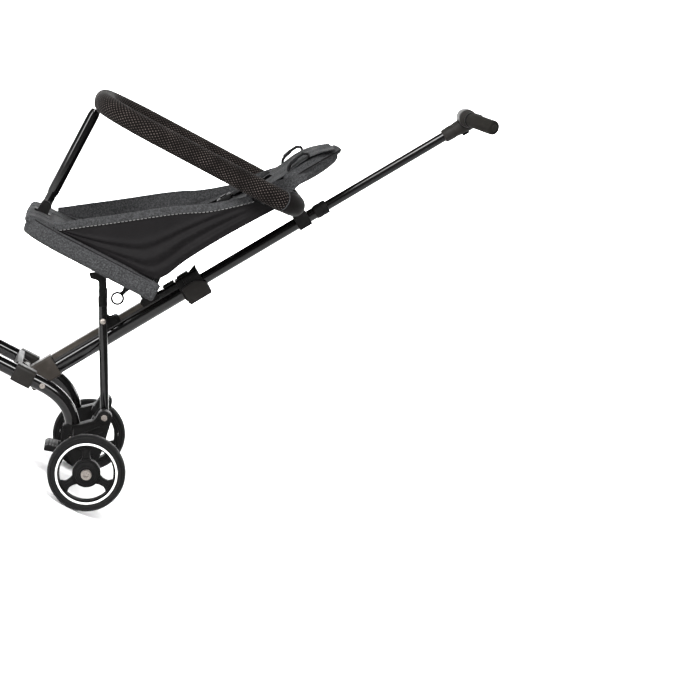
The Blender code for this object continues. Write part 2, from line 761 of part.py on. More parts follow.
def make_saddle(carrier):
    """Bracket on the pole's front face that carries the crossing pin."""
    s = (place(*CROSSING) - on_pole(0.0)).dot(POLE_DIR)
    n = (place(*CROSSING) - on_pole(0.0)).dot(POLE_FRONT)
    outline = rounded([
        (s - 0.016, 0.012, 0.002), (s + 0.026, 0.012, 0.002), (s + 0.026, 0.0275, 0.003),
        (s + 0.010, 0.0300, 0.004), (s + 0.0085, n + 0.0088, 0.0085),
        (s - 0.0088, n + 0.0088, 0.0085), (s - 0.0100, 0.0300, 0.004),
        (s - 0.016, 0.0275, 0.003)], 3)
    saddle = plate("pivot_saddle", [outline], 0.0320, pole_frame())
    soften(saddle, 0.0012, 1)
    settle(saddle)
    passage = plate("saddle_cut", [main_outline(GAP)], 0.20, pole_frame(s), lengthways=True)
    cut(saddle, passage)
    hole = rod("saddle_hole", place(*CROSSING), ACROSS, 0.08, PIVOT_R + GAP, 12)
    cut(saddle, hole)
    finish(saddle, carrier, PLASTIC)


def make_seat_bracket(carrier):
    """Bracket on the pole's front face with the seat's hinge pin."""
    outline = rounded([
        (HINGE_S - 0.016, 0.013, 0.002), (HINGE_S + 0.020, 0.013, 0.002),
        (HINGE_S + 0.020, 0.0262, 0.002), (HINGE_S + 0.009, 0.0268, 0.004),
        (HINGE_S + 0.008, HINGE_N + 0.008, 0.0078), (HINGE_S - 0.008, HINGE_N + 0.008, 0.0078),
        (HINGE_S - 0.010, 0.0268, 0.004), (HINGE_S - 0.016, 0.0262, 0.002)], 3)
    bracket = plate("seat_hinge_bracket", [outline], 0.0320, pole_frame())
    settle(bracket)
    passage = plate("bracket_cut", [main_outline(GAP)], 0.20, pole_frame(HINGE_S),
                    lengthways=True)
    cut(bracket, passage)
    pin = rod("hinge_pin", on_pole(HINGE_S, HINGE_N), ACROSS, 0.0540, PIVOT_R, 12)
    finish(add(bracket, pin), carrier, PLASTIC)


LEVER_S = 0.338
LEVER_N = -0.0257


def make_clamp(carrier):
    """Clamp collar that closes the main tube around the telescoping stage."""
    collar = block("clamp_collar", (0.331, -0.0205, -0.0205), (0.3800, 0.0205, 0.0265),
                   pole_frame(), 0.003, 1)
    settle(collar)
    latch = block("clamp_latch", (0.3370, -0.0140, 0.020), (0.3620, 0.0140, 0.0305),
                  pole_frame(), 0.002, 1)
    fin = block("clamp_fin", (0.3785, -0.0100, -0.012), (0.3815, 0.0100, 0.0300), pole_frame(),
                0.0008, 1)
    lug = block("clamp_lug", (0.3325, -0.0075, -0.0290), (0.3435, 0.0075, -0.018), pole_frame(),
                0.0015, 1)
    for extra in (latch, fin, lug):
        add(collar, settle(extra))
    lower = plate("clamp_cut", [main_outline(GAP)], 0.10, pole_frame(MAIN_TOP_S - 0.05 + GAP),
                  lengthways=True)
    cut(collar, lower)
    upper = rod("clamp_bore", on_pole(0.36), POLE_DIR, 0.10, INNER_R + GAP, 18)
    cut(collar, upper)
    hole = rod("clamp_hole", on_pole(LEVER_S, LEVER_N), ACROSS, 0.03, 0.0025 + GAP, 12)
    cut(collar, hole)
    finish(collar, carrier, PLASTIC)


def make_clamp_lever(carrier):
    """Cam lever around the back of the clamp collar."""
    lever = block("clamp_lever", (0.3350, -0.0250, -0.0300), (0.3840, 0.0250, 0.0085),
                  pole_frame(), 0.004, 2)
    settle(lever)
    space = block("lever_space", (0.32, -0.0212, -0.0222), (0.40, 0.0212, 0.03), pole_frame(),
                  0.001, 1)
    cut(lever, settle(space))
    notch = block("lever_notch", (0.32, -0.0082, -0.04), (0.3450, 0.0082, 0.0), pole_frame(),
                  bevel=0)
    cut(lever, notch)
    pin = rod("lever_pin", on_pole(LEVER_S, LEVER_N), ACROSS, 0.0300, 0.0025, 12)
    finish(add(lever, pin), carrier, GREY_PLASTIC)


def make_bumper_bracket(carrier):
    """Clamp on the telescoping stage with two cheeks for the bumper's core."""
    centre = place(BUMPER_REAR_X, BUMPER_Z)
    s = (centre - on_pole(0.0)).dot(POLE_DIR)
    n = (centre - on_pole(0.0)).dot(POLE_FRONT)
    body = block("bumper_bracket", (s - 0.014, -0.0165, -0.0150), (s + 0.014, 0.0165, 0.0175),
                 pole_frame(), 0.003, 1)
    settle(body)
    outline = rounded([(s - 0.013, 0.012, 0.001), (s + 0.013, 0.012, 0.001),
                       (s + 0.013, n + 0.0125, 0.0125), (s - 0.013, n + 0.0125, 0.0125)], 5)
    for word, side in SIDES:
        cheek = plate(f"bumper_cheek_{word}", [outline], 0.0050, pole_frame(y=side * 0.0155))
        add(body, cheek)
    tongue = plate("back_tongue", [rounded([
        (0.150, 0.6880, 0.0), (0.140, 0.6945, 0.0), (0.128, 0.6880, 0.006),
        (0.0763, 0.6807, 0.002), (0.0833, 0.7016, 0.001), (0.0793, 0.7041, 0.001),
        (0.0533, 0.6606, 0.001), (0.0573, 0.6581, 0.001), (0.0723, 0.6747, 0.003),
        (0.130, 0.6825, 0.004)], 2)], 0.0200, side_frame())
    add(body, tongue)
    bore = rod("bracket_bore", on_pole(s), POLE_DIR, 0.06, INNER_R + GAP, 18)
    cut(body, bore)
    core = rod("core_bore", centre, ACROSS, 0.06, CORE_R + RUN, 20)
    finish(cut(body, core), carrier, PLASTIC)


def make_carriage(carrier):
    """Sliding carriage: two sleeves on the base tubes, a beam and two lugs for the pole's foot."""
    x, z = POLE_FOOT
    carriage = block("carriage", (x - 0.024, -0.080, z - 0.017), (x - 0.0115, 0.080, z + 0.017),
                     side_frame(), 0.003, 1)
    settle(carriage)
    for word, side in SIDES:
        y = side * BASE_TUBE_Y
        sleeve = block(f"sleeve_{word}", (x - 0.021, y - 0.0185, z - 0.0185),
                       (x + 0.021, y + 0.0185, z + 0.0185), side_frame(), 0.006, 1)
        add(carriage, settle(sleeve))
        lug = plate(f"lug_{word}", [rounded([
            (x - 0.014, z - 0.013, 0.003), (x + 0.0095, z - 0.0095, 0.0092),
            (x + 0.0095, z + 0.0095, 0.0092), (x - 0.014, z + 0.013, 0.003)], 3)], 0.006,
            side_frame(y=side * 0.0232))
        add(carriage, lug)
        bore = rod(f"sleeve_bore_{word}", place(x, z, y), AHEAD, 0.08, BASE_TUBE_R + 0.0009, 12)
        cut(carriage, bore)
    hole = rod("lug_hole", place(x, z), ACROSS, 0.08, PIVOT_R + GAP, 12)
    cut(carriage, hole)
    finish(carriage, carrier, GREY_PLASTIC)
    pin = rod("carriage_pin", place(x, z), ACROSS, 0.0560, PIVOT_R, 12)
    for word, side in SIDES:
        head = rod(f"carriage_pin_head_{word}", place(x, z, side * 0.0279), ACROSS, 0.0028,
                   0.0065, 16)
        add(pin, head)
    finish(pin, carrier, STEEL)


def cushion(name, where, half_length, half_width, half_thick, edge, cuts, shape, levels=1):
    """Crowned pad with sides that draw in, from a divided box.

    shape(u, v) returns (length scale, width scale, lift) at a place of the pad, with u and v
    from -1 to 1 along its length and its width.
    """
    bm = bmesh.new()
    bmesh.ops.create_cube(bm, size=2.0)
    long_edges = [e for e in bm.edges if abs(e.verts[0].co.x - e.verts[1].co.x) > 1.0]
    bmesh.ops.subdivide_edges(bm, edges=long_edges, cuts=cuts[0], use_grid_fill=True)
    wide_edges = [e for e in bm.edges if abs(e.verts[0].co.y - e.verts[1].co.y) > 1.0]
    bmesh.ops.subdivide_edges(bm, edges=wide_edges, cuts=cuts[1], use_grid_fill=True)
    for vert in bm.verts:
        u, v, w = vert.co
        crown = edge + (1.0 - edge) * math.sqrt(max(0.0, (1.0 - u ** 4) * (1.0 - v ** 4)))
        long_scale, wide_scale, lift = shape(u, v)
        vert.co = Vector((u * half_length * long_scale, v * half_width * wide_scale,
                          w * half_thick * crown + lift))
    made = from_bmesh(name, bm, where)
    smooth = made.modifiers.new("smooth", "SUBSURF")
    smooth.levels = levels
    smooth.render_levels = levels
    return made


def make_seat(carrier):
    """Seat board with hinge ears and slotted rails, pad and post socket."""
    board = plate("seat_board", [round_box(REAR_AXLE_X - 0.322, -0.140, REAR_AXLE_X - 0.052,
                                           0.140, 0.020, 3)], BOARD_TOP_Z - BOARD_Z,
                  Matrix.Translation((0, 0, (BOARD_Z + BOARD_TOP_Z) / 2.0))
                  @ Matrix.Rotation(-math.pi / 2.0, 4, "X"))
    hinge = on_pole(HINGE_S, HINGE_N) - place(0.0, 0.0)
    for word, side in SIDES:
        ear = plate(f"seat_ear_{word}", [rounded([
            (hinge.x - 0.045, BOARD_Z + 0.001, 0.0), (hinge.x - 0.0078, hinge.z - 0.0078, 0.0076),
            (hinge.x + 0.0078, hinge.z - 0.0078, 0.0076), (hinge.x + 0.0078, hinge.z + 0.004,
                                                           0.004),
            (hinge.x - 0.008, BOARD_Z + 0.001, 0.0)], 3)], 0.005, side_frame(y=side * 0.0200))
        add(board, ear)
    tab = plate("ring_tab", [rounded([
        (RING_PIVOT[0] - 0.010, BOARD_Z + 0.001, 0.0), (RING_PIVOT[0] - 0.005,
                                                        RING_PIVOT[1] - 0.005, 0.0045),
        (RING_PIVOT[0] + 0.005, RING_PIVOT[1] - 0.005, 0.0045),
        (RING_PIVOT[0] + 0.014, BOARD_Z + 0.001, 0.0)], 3)], 0.0025,
        side_frame(y=RING_Y + 0.0038))
    add(board, tab)
    stub = rod("ring_stub", place(*RING_PIVOT, RING_Y + 0.0005), ACROSS, 0.0075, 0.0020, 12)
    add(board, stub)
    hole = rod("ear_hole", on_pole(HINGE_S, HINGE_N), ACROSS, 0.08, PIVOT_R + GAP, 12)
    cut(board, hole)
    finish(board, carrier, PLASTIC)

    head = place(*STRUT_FOOT) + STRUT_DIR * STRUT_HEAD - place(0.0, 0.0)
    for word, side in SIDES:
        rail = block(f"seat_rail_{word}", (RAIL_FRONT_X, -RAIL_HALF, 0.4165),
                     (RAIL_REAR_X, RAIL_HALF, BOARD_Z - GAP), side_frame(y=side * STRUT_Y), 0.001,
                     1)
        settle(rail)
        channel = block(f"channel_{word}", (RAIL_FRONT_X + 0.004, -STRUT_R - 0.0006, 0.40),
                        (RAIL_REAR_X + 0.01, STRUT_R + 0.0006, 0.4318),
                        side_frame(y=side * STRUT_Y), bevel=0)
        cut(rail, channel)
        slot = plate(f"rail_slot_{word}", [rounded([
            (RAIL_FRONT_X + 0.008, head.z - 0.0044, 0.003), (RAIL_REAR_X - 0.012,
                                                            head.z - 0.0044, 0.003),
            (RAIL_REAR_X - 0.012, head.z + 0.0042, 0.003), (RAIL_FRONT_X + 0.008,
                                                           head.z + 0.0042, 0.003)], 3)], 0.03,
            side_frame(y=side * STRUT_Y))
        cut(rail, slot)
        finish(rail, carrier, PLASTIC)
    make_seat_pad(carrier)
    make_post_socket(carrier)


def make_seat_pad(carrier):
    """Seat pad whose edge hangs down around the board."""
    middle_x = (SEAT_FRONT_X + SEAT_REAR_X) / 2.0
    half_length = (SEAT_REAR_X - SEAT_FRONT_X) / 2.0
    middle_z = (SEAT_BOTTOM_Z + SEAT_TOP_Z) / 2.0 + 0.0005

    def shape(u, v):
        bolster = 0.006 * max(0.0, abs(v) - 0.75) * 4.0
        front = 0.004 * max(0.0, -u - 0.6) * 2.5 * (abs(v) > 0.5)
        wide = 1.0 - 0.05 * u ** 2 - (0.10 if u > 0.9 else 0.0)
        return 1.0 - 0.03 * v * v, wide, bolster + front

    pad = cushion("seat_pad", side_frame(middle_x, middle_z), half_length + 0.002,
                  SEAT_HALF + 0.002, 0.0150, 0.75, (5, 7), shape)
    settle(pad)
    recess = block("pad_recess", (-0.324, -0.142, 0.38), (-0.040, 0.142, BOARD_TOP_Z + GAP),
                   side_frame(), bevel=0)
    cut(pad, recess)
    finish(pad, carrier, MELANGE_CLOTH, 60.0)


def make_post_socket(carrier):
    """Socket on the seat's front edge in which the crotch post hinges."""
    base = block("post_socket", (POST_X - 0.017, -0.0150, SEAT_TOP_Z + 0.0012),
                 (POST_X + 0.017, 0.0150, SEAT_TOP_Z + 0.0052), side_frame(), 0.001, 1)
    settle(base)
    for word, side in SIDES:
        ear = plate(f"post_ear_{word}", [rounded([
            (POST_X - 0.0115, SEAT_TOP_Z + 0.003, 0.0), (POST_X + 0.0115, SEAT_TOP_Z + 0.003,
                                                         0.0),
            (POST_X + 0.0085, POST_PIVOT_Z + 0.0085, 0.008), (POST_X - 0.0085,
                                                             POST_PIVOT_Z + 0.0085, 0.008)],
            4)], 0.0036, side_frame(y=side * 0.0124))
        add(base, ear)
    pin = rod("post_pin", place(POST_X, POST_PIVOT_Z), ACROSS, 0.0280, 0.0030, 16)
    finish(add(base, pin), carrier, PLASTIC)


def make_post(carrier):
    """Oval crotch post that stands up to the bumper bar."""
    outline = []
    for k in range(16):
        angle = math.tau * k / 16
        outline.append((0.0100 * math.cos(angle), 0.0120 * math.sin(angle)))
    height = POST_TOP_Z - POST_PIVOT_Z + 0.002
    where = frame(place(POST_X, POST_PIVOT_Z - 0.002 + height / 2.0), Vector((0, 0, 1)), ACROSS)
    post = plate("crotch_post", [outline], height, where, lengthways=True)
    foot = rod("post_foot", place(POST_X, POST_PIVOT_Z), ACROSS, 0.0198, 0.0112, 16)
    add(post, foot)
    hole = rod("post_hole", place(POST_X, POST_PIVOT_Z), ACROSS, 0.05, 0.0030 + GAP, 16)
    finish(cut(post, hole), carrier, TUBE_BLACK)


def bumper_route(start_y=0.0):
    """Centre line of the bumper bar, round from the middle of its rear crossbar."""
    front_r = 0.115
    rear_r = 0.075
    points = [place(BUMPER_REAR_X, BUMPER_Z, start_y)]
    corners = (
        (BUMPER_REAR_X - rear_r, BUMPER_Y - rear_r, rear_r, 0.0),
        (BUMPER_FRONT_X + front_r, BUMPER_Y - front_r, front_r, 90.0),
        (BUMPER_FRONT_X + front_r, front_r - BUMPER_Y, front_r, 180.0),
        (BUMPER_REAR_X - rear_r, rear_r - BUMPER_Y, rear_r, 270.0))
    for x, y, radius, angle in corners:
        for k in range(6):
            turn = math.radians(angle + 90.0 * k / 5)
            points.append(place(x + radius * math.cos(turn), BUMPER_Z,
                                y + radius * math.sin(turn)))
    points.append(place(BUMPER_REAR_X, BUMPER_Z, -start_y))
    return points


def make_bumper(carrier, yoke_carrier):
    """Foam loop on a steel core at its rear, and the yoke that turns it for folding."""
    middle = place(BUMPER_REAR_X, BUMPER_Z)
    core = rod("bumper_core", middle, ACROSS, 0.1000, CORE_R, 16)
    finish(core, carrier, TUBE_BLACK)
    foam = tube("bumper_foam", bumper_route(0.028), FOAM_R, 12)
    passage = rod("foam_bore", middle, ACROSS, 0.1000 + 2 * GAP, CORE_R + GAP, 16)
    finish(cut(foam, passage), carrier, FOAM)
    yoke = rod("bumper_yoke", middle, ACROSS, 0.0245, 0.0145, 16)
    soften(yoke, 0.0015, 1)
    settle(yoke)
    bore = rod("yoke_bore", middle, ACROSS, 0.05, CORE_R + RUN, 16)
    finish(cut(yoke, bore), yoke_carrier, PLASTIC)


def make_pull_ring(carrier):
    """Ring that hangs from the seat and is pulled to let the frame fold."""
    centre = (-0.094, 0.381)
    steps = 16
    loop = [place(centre[0] + 0.0115 * math.cos(math.tau * k / steps),
                  centre[1] + 0.0115 * math.sin(math.tau * k / steps), RING_Y)
            for k in range(steps)]
    ring = tube("pull_ring", loop, 0.0018, 6, closed=True)
    stem = plate("ring_stem", [rounded([
        (centre[0] - 0.002, centre[1] + 0.0118, 0.0), (centre[0] + 0.0065, centre[1] + 0.0088,
                                                       0.0),
        (RING_PIVOT[0] + 0.0045, RING_PIVOT[1] - 0.002, 0.002),
        (RING_PIVOT[0] + 0.0042, RING_PIVOT[1] + 0.0042, 0.004),
        (RING_PIVOT[0] - 0.0042, RING_PIVOT[1] + 0.0042, 0.004),
        (RING_PIVOT[0] - 0.0045, RING_PIVOT[1] - 0.004, 0.002)], 3)], 0.0030,
        side_frame(y=RING_Y))
    add(ring, stem)
    hole = rod("ring_hole", place(*RING_PIVOT, RING_Y), ACROSS, 0.02, 0.0020 + GAP, 12)
    finish(cut(ring, hole), carrier, PLASTIC)


def make_back(carrier):
    """Backrest pad, head pad and the side gussets between back and seat."""
    low = Vector((-0.058, 0.478))
    high = Vector((0.088, 0.722))
    run = high - low
    lean = Vector((run.x, 0.0, run.y)).normalized()
    middle = (low + high) / 2.0
    forward = lean.cross(ACROSS)
    centre = place(middle.x, middle.y) + forward * 0.014

    def back_shape(u, v):
        channel = 0.0025 * math.cos(3.0 * math.pi * v)
        wide = 1.0 - 0.06 * u * u
        return 1.0 - 0.04 * v * v, wide, channel * (1.0 - u * u)

    back = cushion("backrest_pad", frame(centre, lean, ACROSS), run.length / 2.0 - 0.002, 0.145,
                   0.0165, 0.55, (4, 6), back_shape)
    finish(back, carrier, MELANGE_CLOTH, 60.0)

    top = Vector((0.1680, 0.8464))
    foot = Vector((0.0841, 0.7162))
    rise = top - foot
    head_lean = Vector((rise.x, 0.0, rise.y)).normalized()
    head_middle = (top + foot) / 2.0
    head_centre = place(head_middle.x, head_middle.y) + head_lean.cross(ACROSS) * 0.012

    def head_shape(u, v):
        wide = 1.0 - 0.55 * max(0.0, (u + 1.0) / 2.0) ** 2
        return 1.0, wide, 0.004 * math.cos(2.0 * math.pi * v) * (1.0 - u * u)

    head = cushion("head_pad", frame(head_centre, head_lean, ACROSS), rise.length / 2.0, 0.125,
                   0.0130, 0.45, (3, 5), head_shape)
    finish(head, carrier, MELANGE_CLOTH, 60.0)

    outline = rounded([
        (-0.272, 0.4573, 0.002), (-0.060, 0.4593, 0.01), (-0.040, 0.4760, 0.004),
        (-0.020, 0.520, 0.02), (0.0790, 0.682, 0.01), (0.0840, 0.6860, 0.004),
        (0.0300, 0.684, 0.02), (-0.065, 0.617, 0.06)], 4)
    for word, side in SIDES:
        panel = plate(f"gusset_{word}", [outline], 0.0040, side_frame(y=side * 0.1530))
        finish(panel, carrier, GUSSET_CLOTH, 60.0)

    buckle = block("harness_buckle", (-0.016, -0.020, 0.0), (0.016, 0.020, 0.011),
                   frame(place(*BUCKLE) + forward * 0.0312, lean, ACROSS), 0.0035, 2)
    finish(buckle, carrier, PLASTIC)


def t_bar_route(side):
    """Centre line of one arm of the handle, swept back towards its end."""
    middle = on_pole(T_BAR_S, T_BAR_N)
    p1 = middle + Vector((0.000, side * 0.040, 0.000))
    p2 = middle + Vector((0.022, side * 0.075, 0.003))
    p3 = middle + Vector((0.042, side * 0.105, 0.007))
    return [middle] + bezier(middle, p1, p2, p3, 9)


def make_handle(carrier, button_carrier):
    """Upper tube, hub with the T-bar, grips and release button."""
    length = HANDLE_TOP_S - HANDLE_BOTTOM_S
    pole = plate("handle_pole", [circle(0, 0, HANDLE_R, 20), circle(0, 0, HANDLE_R - 0.0014, 20)],
                 length, pole_frame(HANDLE_BOTTOM_S + length / 2.0), lengthways=True)
    finish(pole, carrier, TUBE_BLACK)
    along = pole_spindle()
    hub = lathe("handle_hub", [
        (0.0, 1.0060), (0.009, 1.0045), (0.0150, 0.9990), (0.0165, 0.9880), (0.0150, 0.9700),
        (0.0132, 0.9500), (0.0128, 0.9340), (0.0, 0.9340)], along, 16, closed=False)
    settle(hub)
    left = t_bar_route(-1)[:8]
    right = t_bar_route(1)[1:8]
    add(hub, tube("t_bar", left[::-1] + right, 0.0090, 10))
    middle = left[0]
    collar = rod("t_collar", middle, ACROSS, 0.0540, 0.0178, 16)
    soften(collar, 0.005, 1)
    add(hub, settle(collar))
    socket = rod("hub_socket", on_pole(0.940), POLE_DIR, 0.0370, HANDLE_R + GAP, 18)
    cut(hub, socket)
    pocket = block("button_pocket", (0.9680, -0.0060, -0.0220), (0.9840, 0.0060, -0.0070),
                   pole_frame(), bevel=0)
    cut(hub, pocket)
    finish(hub, carrier, PLASTIC)
    for word, side in SIDES:
        route = t_bar_route(side)
        grip = tube(f"grip_{word}", route[3:], 0.0145, 12)
        soften(grip, 0.0050, 1)
        settle(grip)
        deep = route[:8] + [route[7] * 0.9 + route[8] * 0.1]
        bore = tube(f"grip_bore_{word}", deep, 0.0098, 10)
        finish(cut(grip, bore), carrier, FOAM)
    button = block("release_button", (0.9686, -0.0054, -0.0190), (0.9834, 0.0054, -0.0120),
                   pole_frame(), 0.0012, 2)
    finish(button, button_carrier, GREY_PLASTIC)


SIDES = (("left", -1), ("right", 1))


def build():
    """Makes every piece and hangs it on its joint."""
    base = pivot("base_frame", place(0.0, 0.0))
    make_base(base)
    for word, side in SIDES:
        wheel = pivot(f"rear_wheel_axis_{word}", place(0.0, REAR_AXLE_Z, side * REAR_WHEEL_Y),
                      base)
        make_wheel(f"rear_{word}", wheel, 0.0, REAR_AXLE_Z, side * REAR_WHEEL_Y, REAR_WHEEL_R,
                   REAR_TYRE_HALF, AXLE_R)
        swivel = pivot(f"swivel_axis_{word}", place(STEM_X, FRONT_WHEEL_R, side * STEM_Y), base)
        make_fork(swivel, word, side)
        front = pivot(f"front_wheel_axis_{word}",
                      place(STEM_X + CASTER_TRAIL, FRONT_WHEEL_R, side * STEM_Y), swivel)
        make_wheel(f"front_{word}", front, STEM_X + CASTER_TRAIL, FRONT_WHEEL_R, side * STEM_Y,
                   FRONT_WHEEL_R, FRONT_TYRE_HALF, 0.004)
    make_brake(pivot("brake_axis", place(0.0, REAR_AXLE_Z), base))
    struts = pivot("strut_axis", place(*STRUT_FOOT), base)
    make_struts(struts)
    pole = pivot("pole_axis", place(*CROSSING), struts)
    make_pole(pole)
    make_back(pole)
    make_clamp_lever(pivot("clamp_lever_axis", on_pole(LEVER_S, LEVER_N), pole))
    make_carriage(pivot("carriage_axis", place(*POLE_FOOT), pole))
    seat = pivot("seat_axis", on_pole(HINGE_S, HINGE_N), pole)
    make_seat(seat)
    make_pull_ring(pivot("pull_ring_axis", place(*RING_PIVOT, RING_Y), seat))
    make_post(pivot("post_axis", place(POST_X, POST_PIVOT_Z), seat))
    yoke = pivot("yoke_axis", place(BUMPER_REAR_X, BUMPER_Z), pole)
    make_bumper(pivot("bumper_axis", place(BUMPER_REAR_X, BUMPER_Z), yoke), yoke)
    handle = pivot("handle_slide", on_pole(INNER_TOP_S), pole)
    make_handle(handle, pivot("button_slide", on_pole(0.9760, -0.0155), handle))


build()
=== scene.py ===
"""Dresses the folding stroller: finished shells, cloth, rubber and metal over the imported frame.

Places in the side view are (x, z): x from the rear axle towards the handle, z up from the ground.
The seat faces -X and the child's left is -Y.  Every piece lies in world metres.
"""

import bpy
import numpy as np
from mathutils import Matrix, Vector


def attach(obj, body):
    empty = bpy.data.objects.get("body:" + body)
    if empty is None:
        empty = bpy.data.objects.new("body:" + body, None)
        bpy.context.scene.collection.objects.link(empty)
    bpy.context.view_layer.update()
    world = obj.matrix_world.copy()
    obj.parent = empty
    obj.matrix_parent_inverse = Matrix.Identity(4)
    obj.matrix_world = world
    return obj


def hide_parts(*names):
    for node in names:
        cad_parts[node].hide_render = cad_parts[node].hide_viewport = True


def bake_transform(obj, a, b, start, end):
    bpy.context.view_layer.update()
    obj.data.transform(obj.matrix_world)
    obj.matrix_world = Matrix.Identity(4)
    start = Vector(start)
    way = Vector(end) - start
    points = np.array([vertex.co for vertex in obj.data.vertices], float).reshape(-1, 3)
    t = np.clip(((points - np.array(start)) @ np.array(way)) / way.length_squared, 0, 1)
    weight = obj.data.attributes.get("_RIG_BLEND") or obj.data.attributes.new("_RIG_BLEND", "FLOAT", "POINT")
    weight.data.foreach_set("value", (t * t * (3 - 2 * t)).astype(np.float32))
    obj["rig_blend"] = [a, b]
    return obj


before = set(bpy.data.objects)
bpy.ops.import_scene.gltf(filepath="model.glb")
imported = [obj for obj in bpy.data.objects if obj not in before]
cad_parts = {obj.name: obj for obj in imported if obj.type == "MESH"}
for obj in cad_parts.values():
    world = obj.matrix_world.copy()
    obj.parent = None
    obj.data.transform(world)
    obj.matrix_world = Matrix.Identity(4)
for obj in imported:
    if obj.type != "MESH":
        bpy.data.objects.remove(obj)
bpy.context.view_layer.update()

import logging
from dataclasses import dataclass
from enum import Enum
from math import asin, atan2, copysign, cos, exp, pi, radians, sin, sqrt, tan, tau
from typing import Callable, Sequence

import bmesh
import bpy
from bmesh.types import BMEdge, BMesh, BMVert
from bpy.types import Material, Node, NodeSocket, Object
from mathutils import Matrix, Vector

LOG = logging.getLogger("stroller")
Pair = tuple[float, float]
Triple = tuple[float, float, float]
Outline = Sequence[Pair]

REAR_AXLE_X = 0.04465
REAR_AXLE_Z = 0.075
POLE_ANGLE = radians(58.7)
POLE_START = (-0.1585, 0.1645)
STRUT_FOOT = (-0.012, 0.17)
CROSSING = (-0.1, 0.332)
BASE_TUBE_Y = 0.092
BASE_TUBE_Z = 0.17
STEM = (-0.452, 0.135)
BUMPER_Z = 0.709
BUMPER_REAR_X = 0.119
SIDES = (("left", -1), ("right", 1))

AHEAD = Vector((1.0, 0.0, 0.0))
ACROSS = Vector((0.0, 1.0, 0.0))
UP = Vector((0.0, 0.0, 1.0))
POLE_DIR = Vector((cos(POLE_ANGLE), 0.0, sin(POLE_ANGLE)))
POLE_FRONT = Vector((-sin(POLE_ANGLE), 0.0, cos(POLE_ANGLE)))
STRUT_DIR = Vector((CROSSING[0] - STRUT_FOOT[0], 0.0, CROSSING[1] - STRUT_FOOT[1])).normalized()


def mm(*rows: Sequence[float]) -> tuple[tuple[float, ...], ...]:
    """Rows of millimetres, in metres."""
    return tuple(tuple(value / 1000.0 for value in row) for row in rows)


def outward(bm: BMesh) -> None:
    """Turns every face outwards."""
    bmesh.ops.recalc_face_normals(bm, faces=bm.faces[:])


def thicken(bm: BMesh, thickness: float) -> BMesh:
    """Gives an open sheet its thickness.

    Args:
        bm: the sheet.
        thickness: its thickness in metres.

    Returns:
        The same mesh.
    """
    bmesh.ops.solidify(bm, geom=bm.faces[:], thickness=thickness)
    outward(bm)
    return bm


def sheet(columns: int, rows: int, point: Callable[[float, float], Vector]) -> BMesh:
    """A divided grid whose points, from -1 to 1 both ways, go where a function puts them.

    Args:
        columns: divisions along u.
        rows: divisions along v.
        point: the place for u and v.

    Returns:
        The new mesh.
    """
    bm = bmesh.new()
    bmesh.ops.create_grid(bm, x_segments=columns, y_segments=rows, size=1.0)
    for vert in bm.verts:
        vert.co = point(vert.co.x, vert.co.y)
    return bm


def place(x: float, z: float, y: float = 0.0) -> Vector:
    """World place of a side-view place."""
    return Vector((REAR_AXLE_X + x, y, z))


def on_pole(s: float, n: float = 0.0, y: float = 0.0) -> Vector:
    """World place at s along the pole, n in front of its axis and y across."""
    return place(*POLE_START, y) + POLE_DIR * s + POLE_FRONT * n


def axes(origin: Vector, along: Vector, across: Vector) -> Matrix:
    """Frame at an origin whose X runs along and whose Y runs across."""
    turn = Matrix((along, across, along.cross(across))).transposed().to_4x4()
    return Matrix.Translation(origin) @ turn


def side_frame(x: float = 0.0, z: float = 0.0, y: float = 0.0) -> Matrix:
    """Frame with X rearwards and Z up at a side-view place."""
    return axes(place(x, z, y), AHEAD, ACROSS)


def pole_frame(s: float = 0.0, n: float = 0.0, y: float = 0.0) -> Matrix:
    """Frame with X along the pole and Z to its front."""
    return axes(on_pole(s, n, y), POLE_DIR, ACROSS)


def strut_frame(y: float = 0.0) -> Matrix:
    """Frame with X along a strut from its foot."""
    return axes(place(*STRUT_FOOT, y), STRUT_DIR, ACROSS)


def spindle(centre: Vector, direction: Vector) -> Matrix:
    """Frame whose Z runs in a direction, for turned shapes."""
    return Matrix.Translation(centre) @ direction.to_track_quat("Z", "Y").to_matrix().to_4x4()


def rounded(corners: Sequence[Triple], steps: int = 6) -> Outline:
    """Outline through corners, each rounded by an arc.

    Args:
        corners: (u, v, radius) of each corner in order.
        steps: number of straight lines in each arc.

    Returns:
        The outline's points.
    """
    points = []
    for i, (u, v, radius) in enumerate(corners):
        here = Vector((u, v))
        before = Vector(corners[i - 1][:2]) - here
        after = Vector(corners[(i + 1) % len(corners)][:2]) - here
        if radius <= 0.0:
            points.append((u, v))
            continue
        half = before.angle(after) / 2.0
        reach = min(radius / tan(half), 0.49 * before.length, 0.49 * after.length)
        arc = reach * tan(half)
        middle = here + (before.normalized() + after.normalized()).normalized() * (arc / sin(half))
        start = here + before.normalized() * reach - middle
        end = here + after.normalized() * reach - middle
        turn = start.angle_signed(end)
        for k in range(steps + 1):
            angle = -turn * k / steps
            points.append((middle.x + start.x * cos(angle) - start.y * sin(angle),
                middle.y + start.x * sin(angle) + start.y * cos(angle)))
    return points


def circle(u: float, v: float, radius: float, steps: int = 48) -> Outline:
    """Outline of a circle."""
    return [(u + radius * cos(tau * k / steps), v + radius
        * sin(tau * k / steps)) for k in range(steps)]


def box_outline(u0: float, v0: float, u1: float, v1: float, radius: float) -> Outline:
    """Outline of a rectangle with rounded corners."""
    return rounded([(u0, v0, radius), (u1, v0, radius), (u1, v1, radius), (u0, v1, radius)])


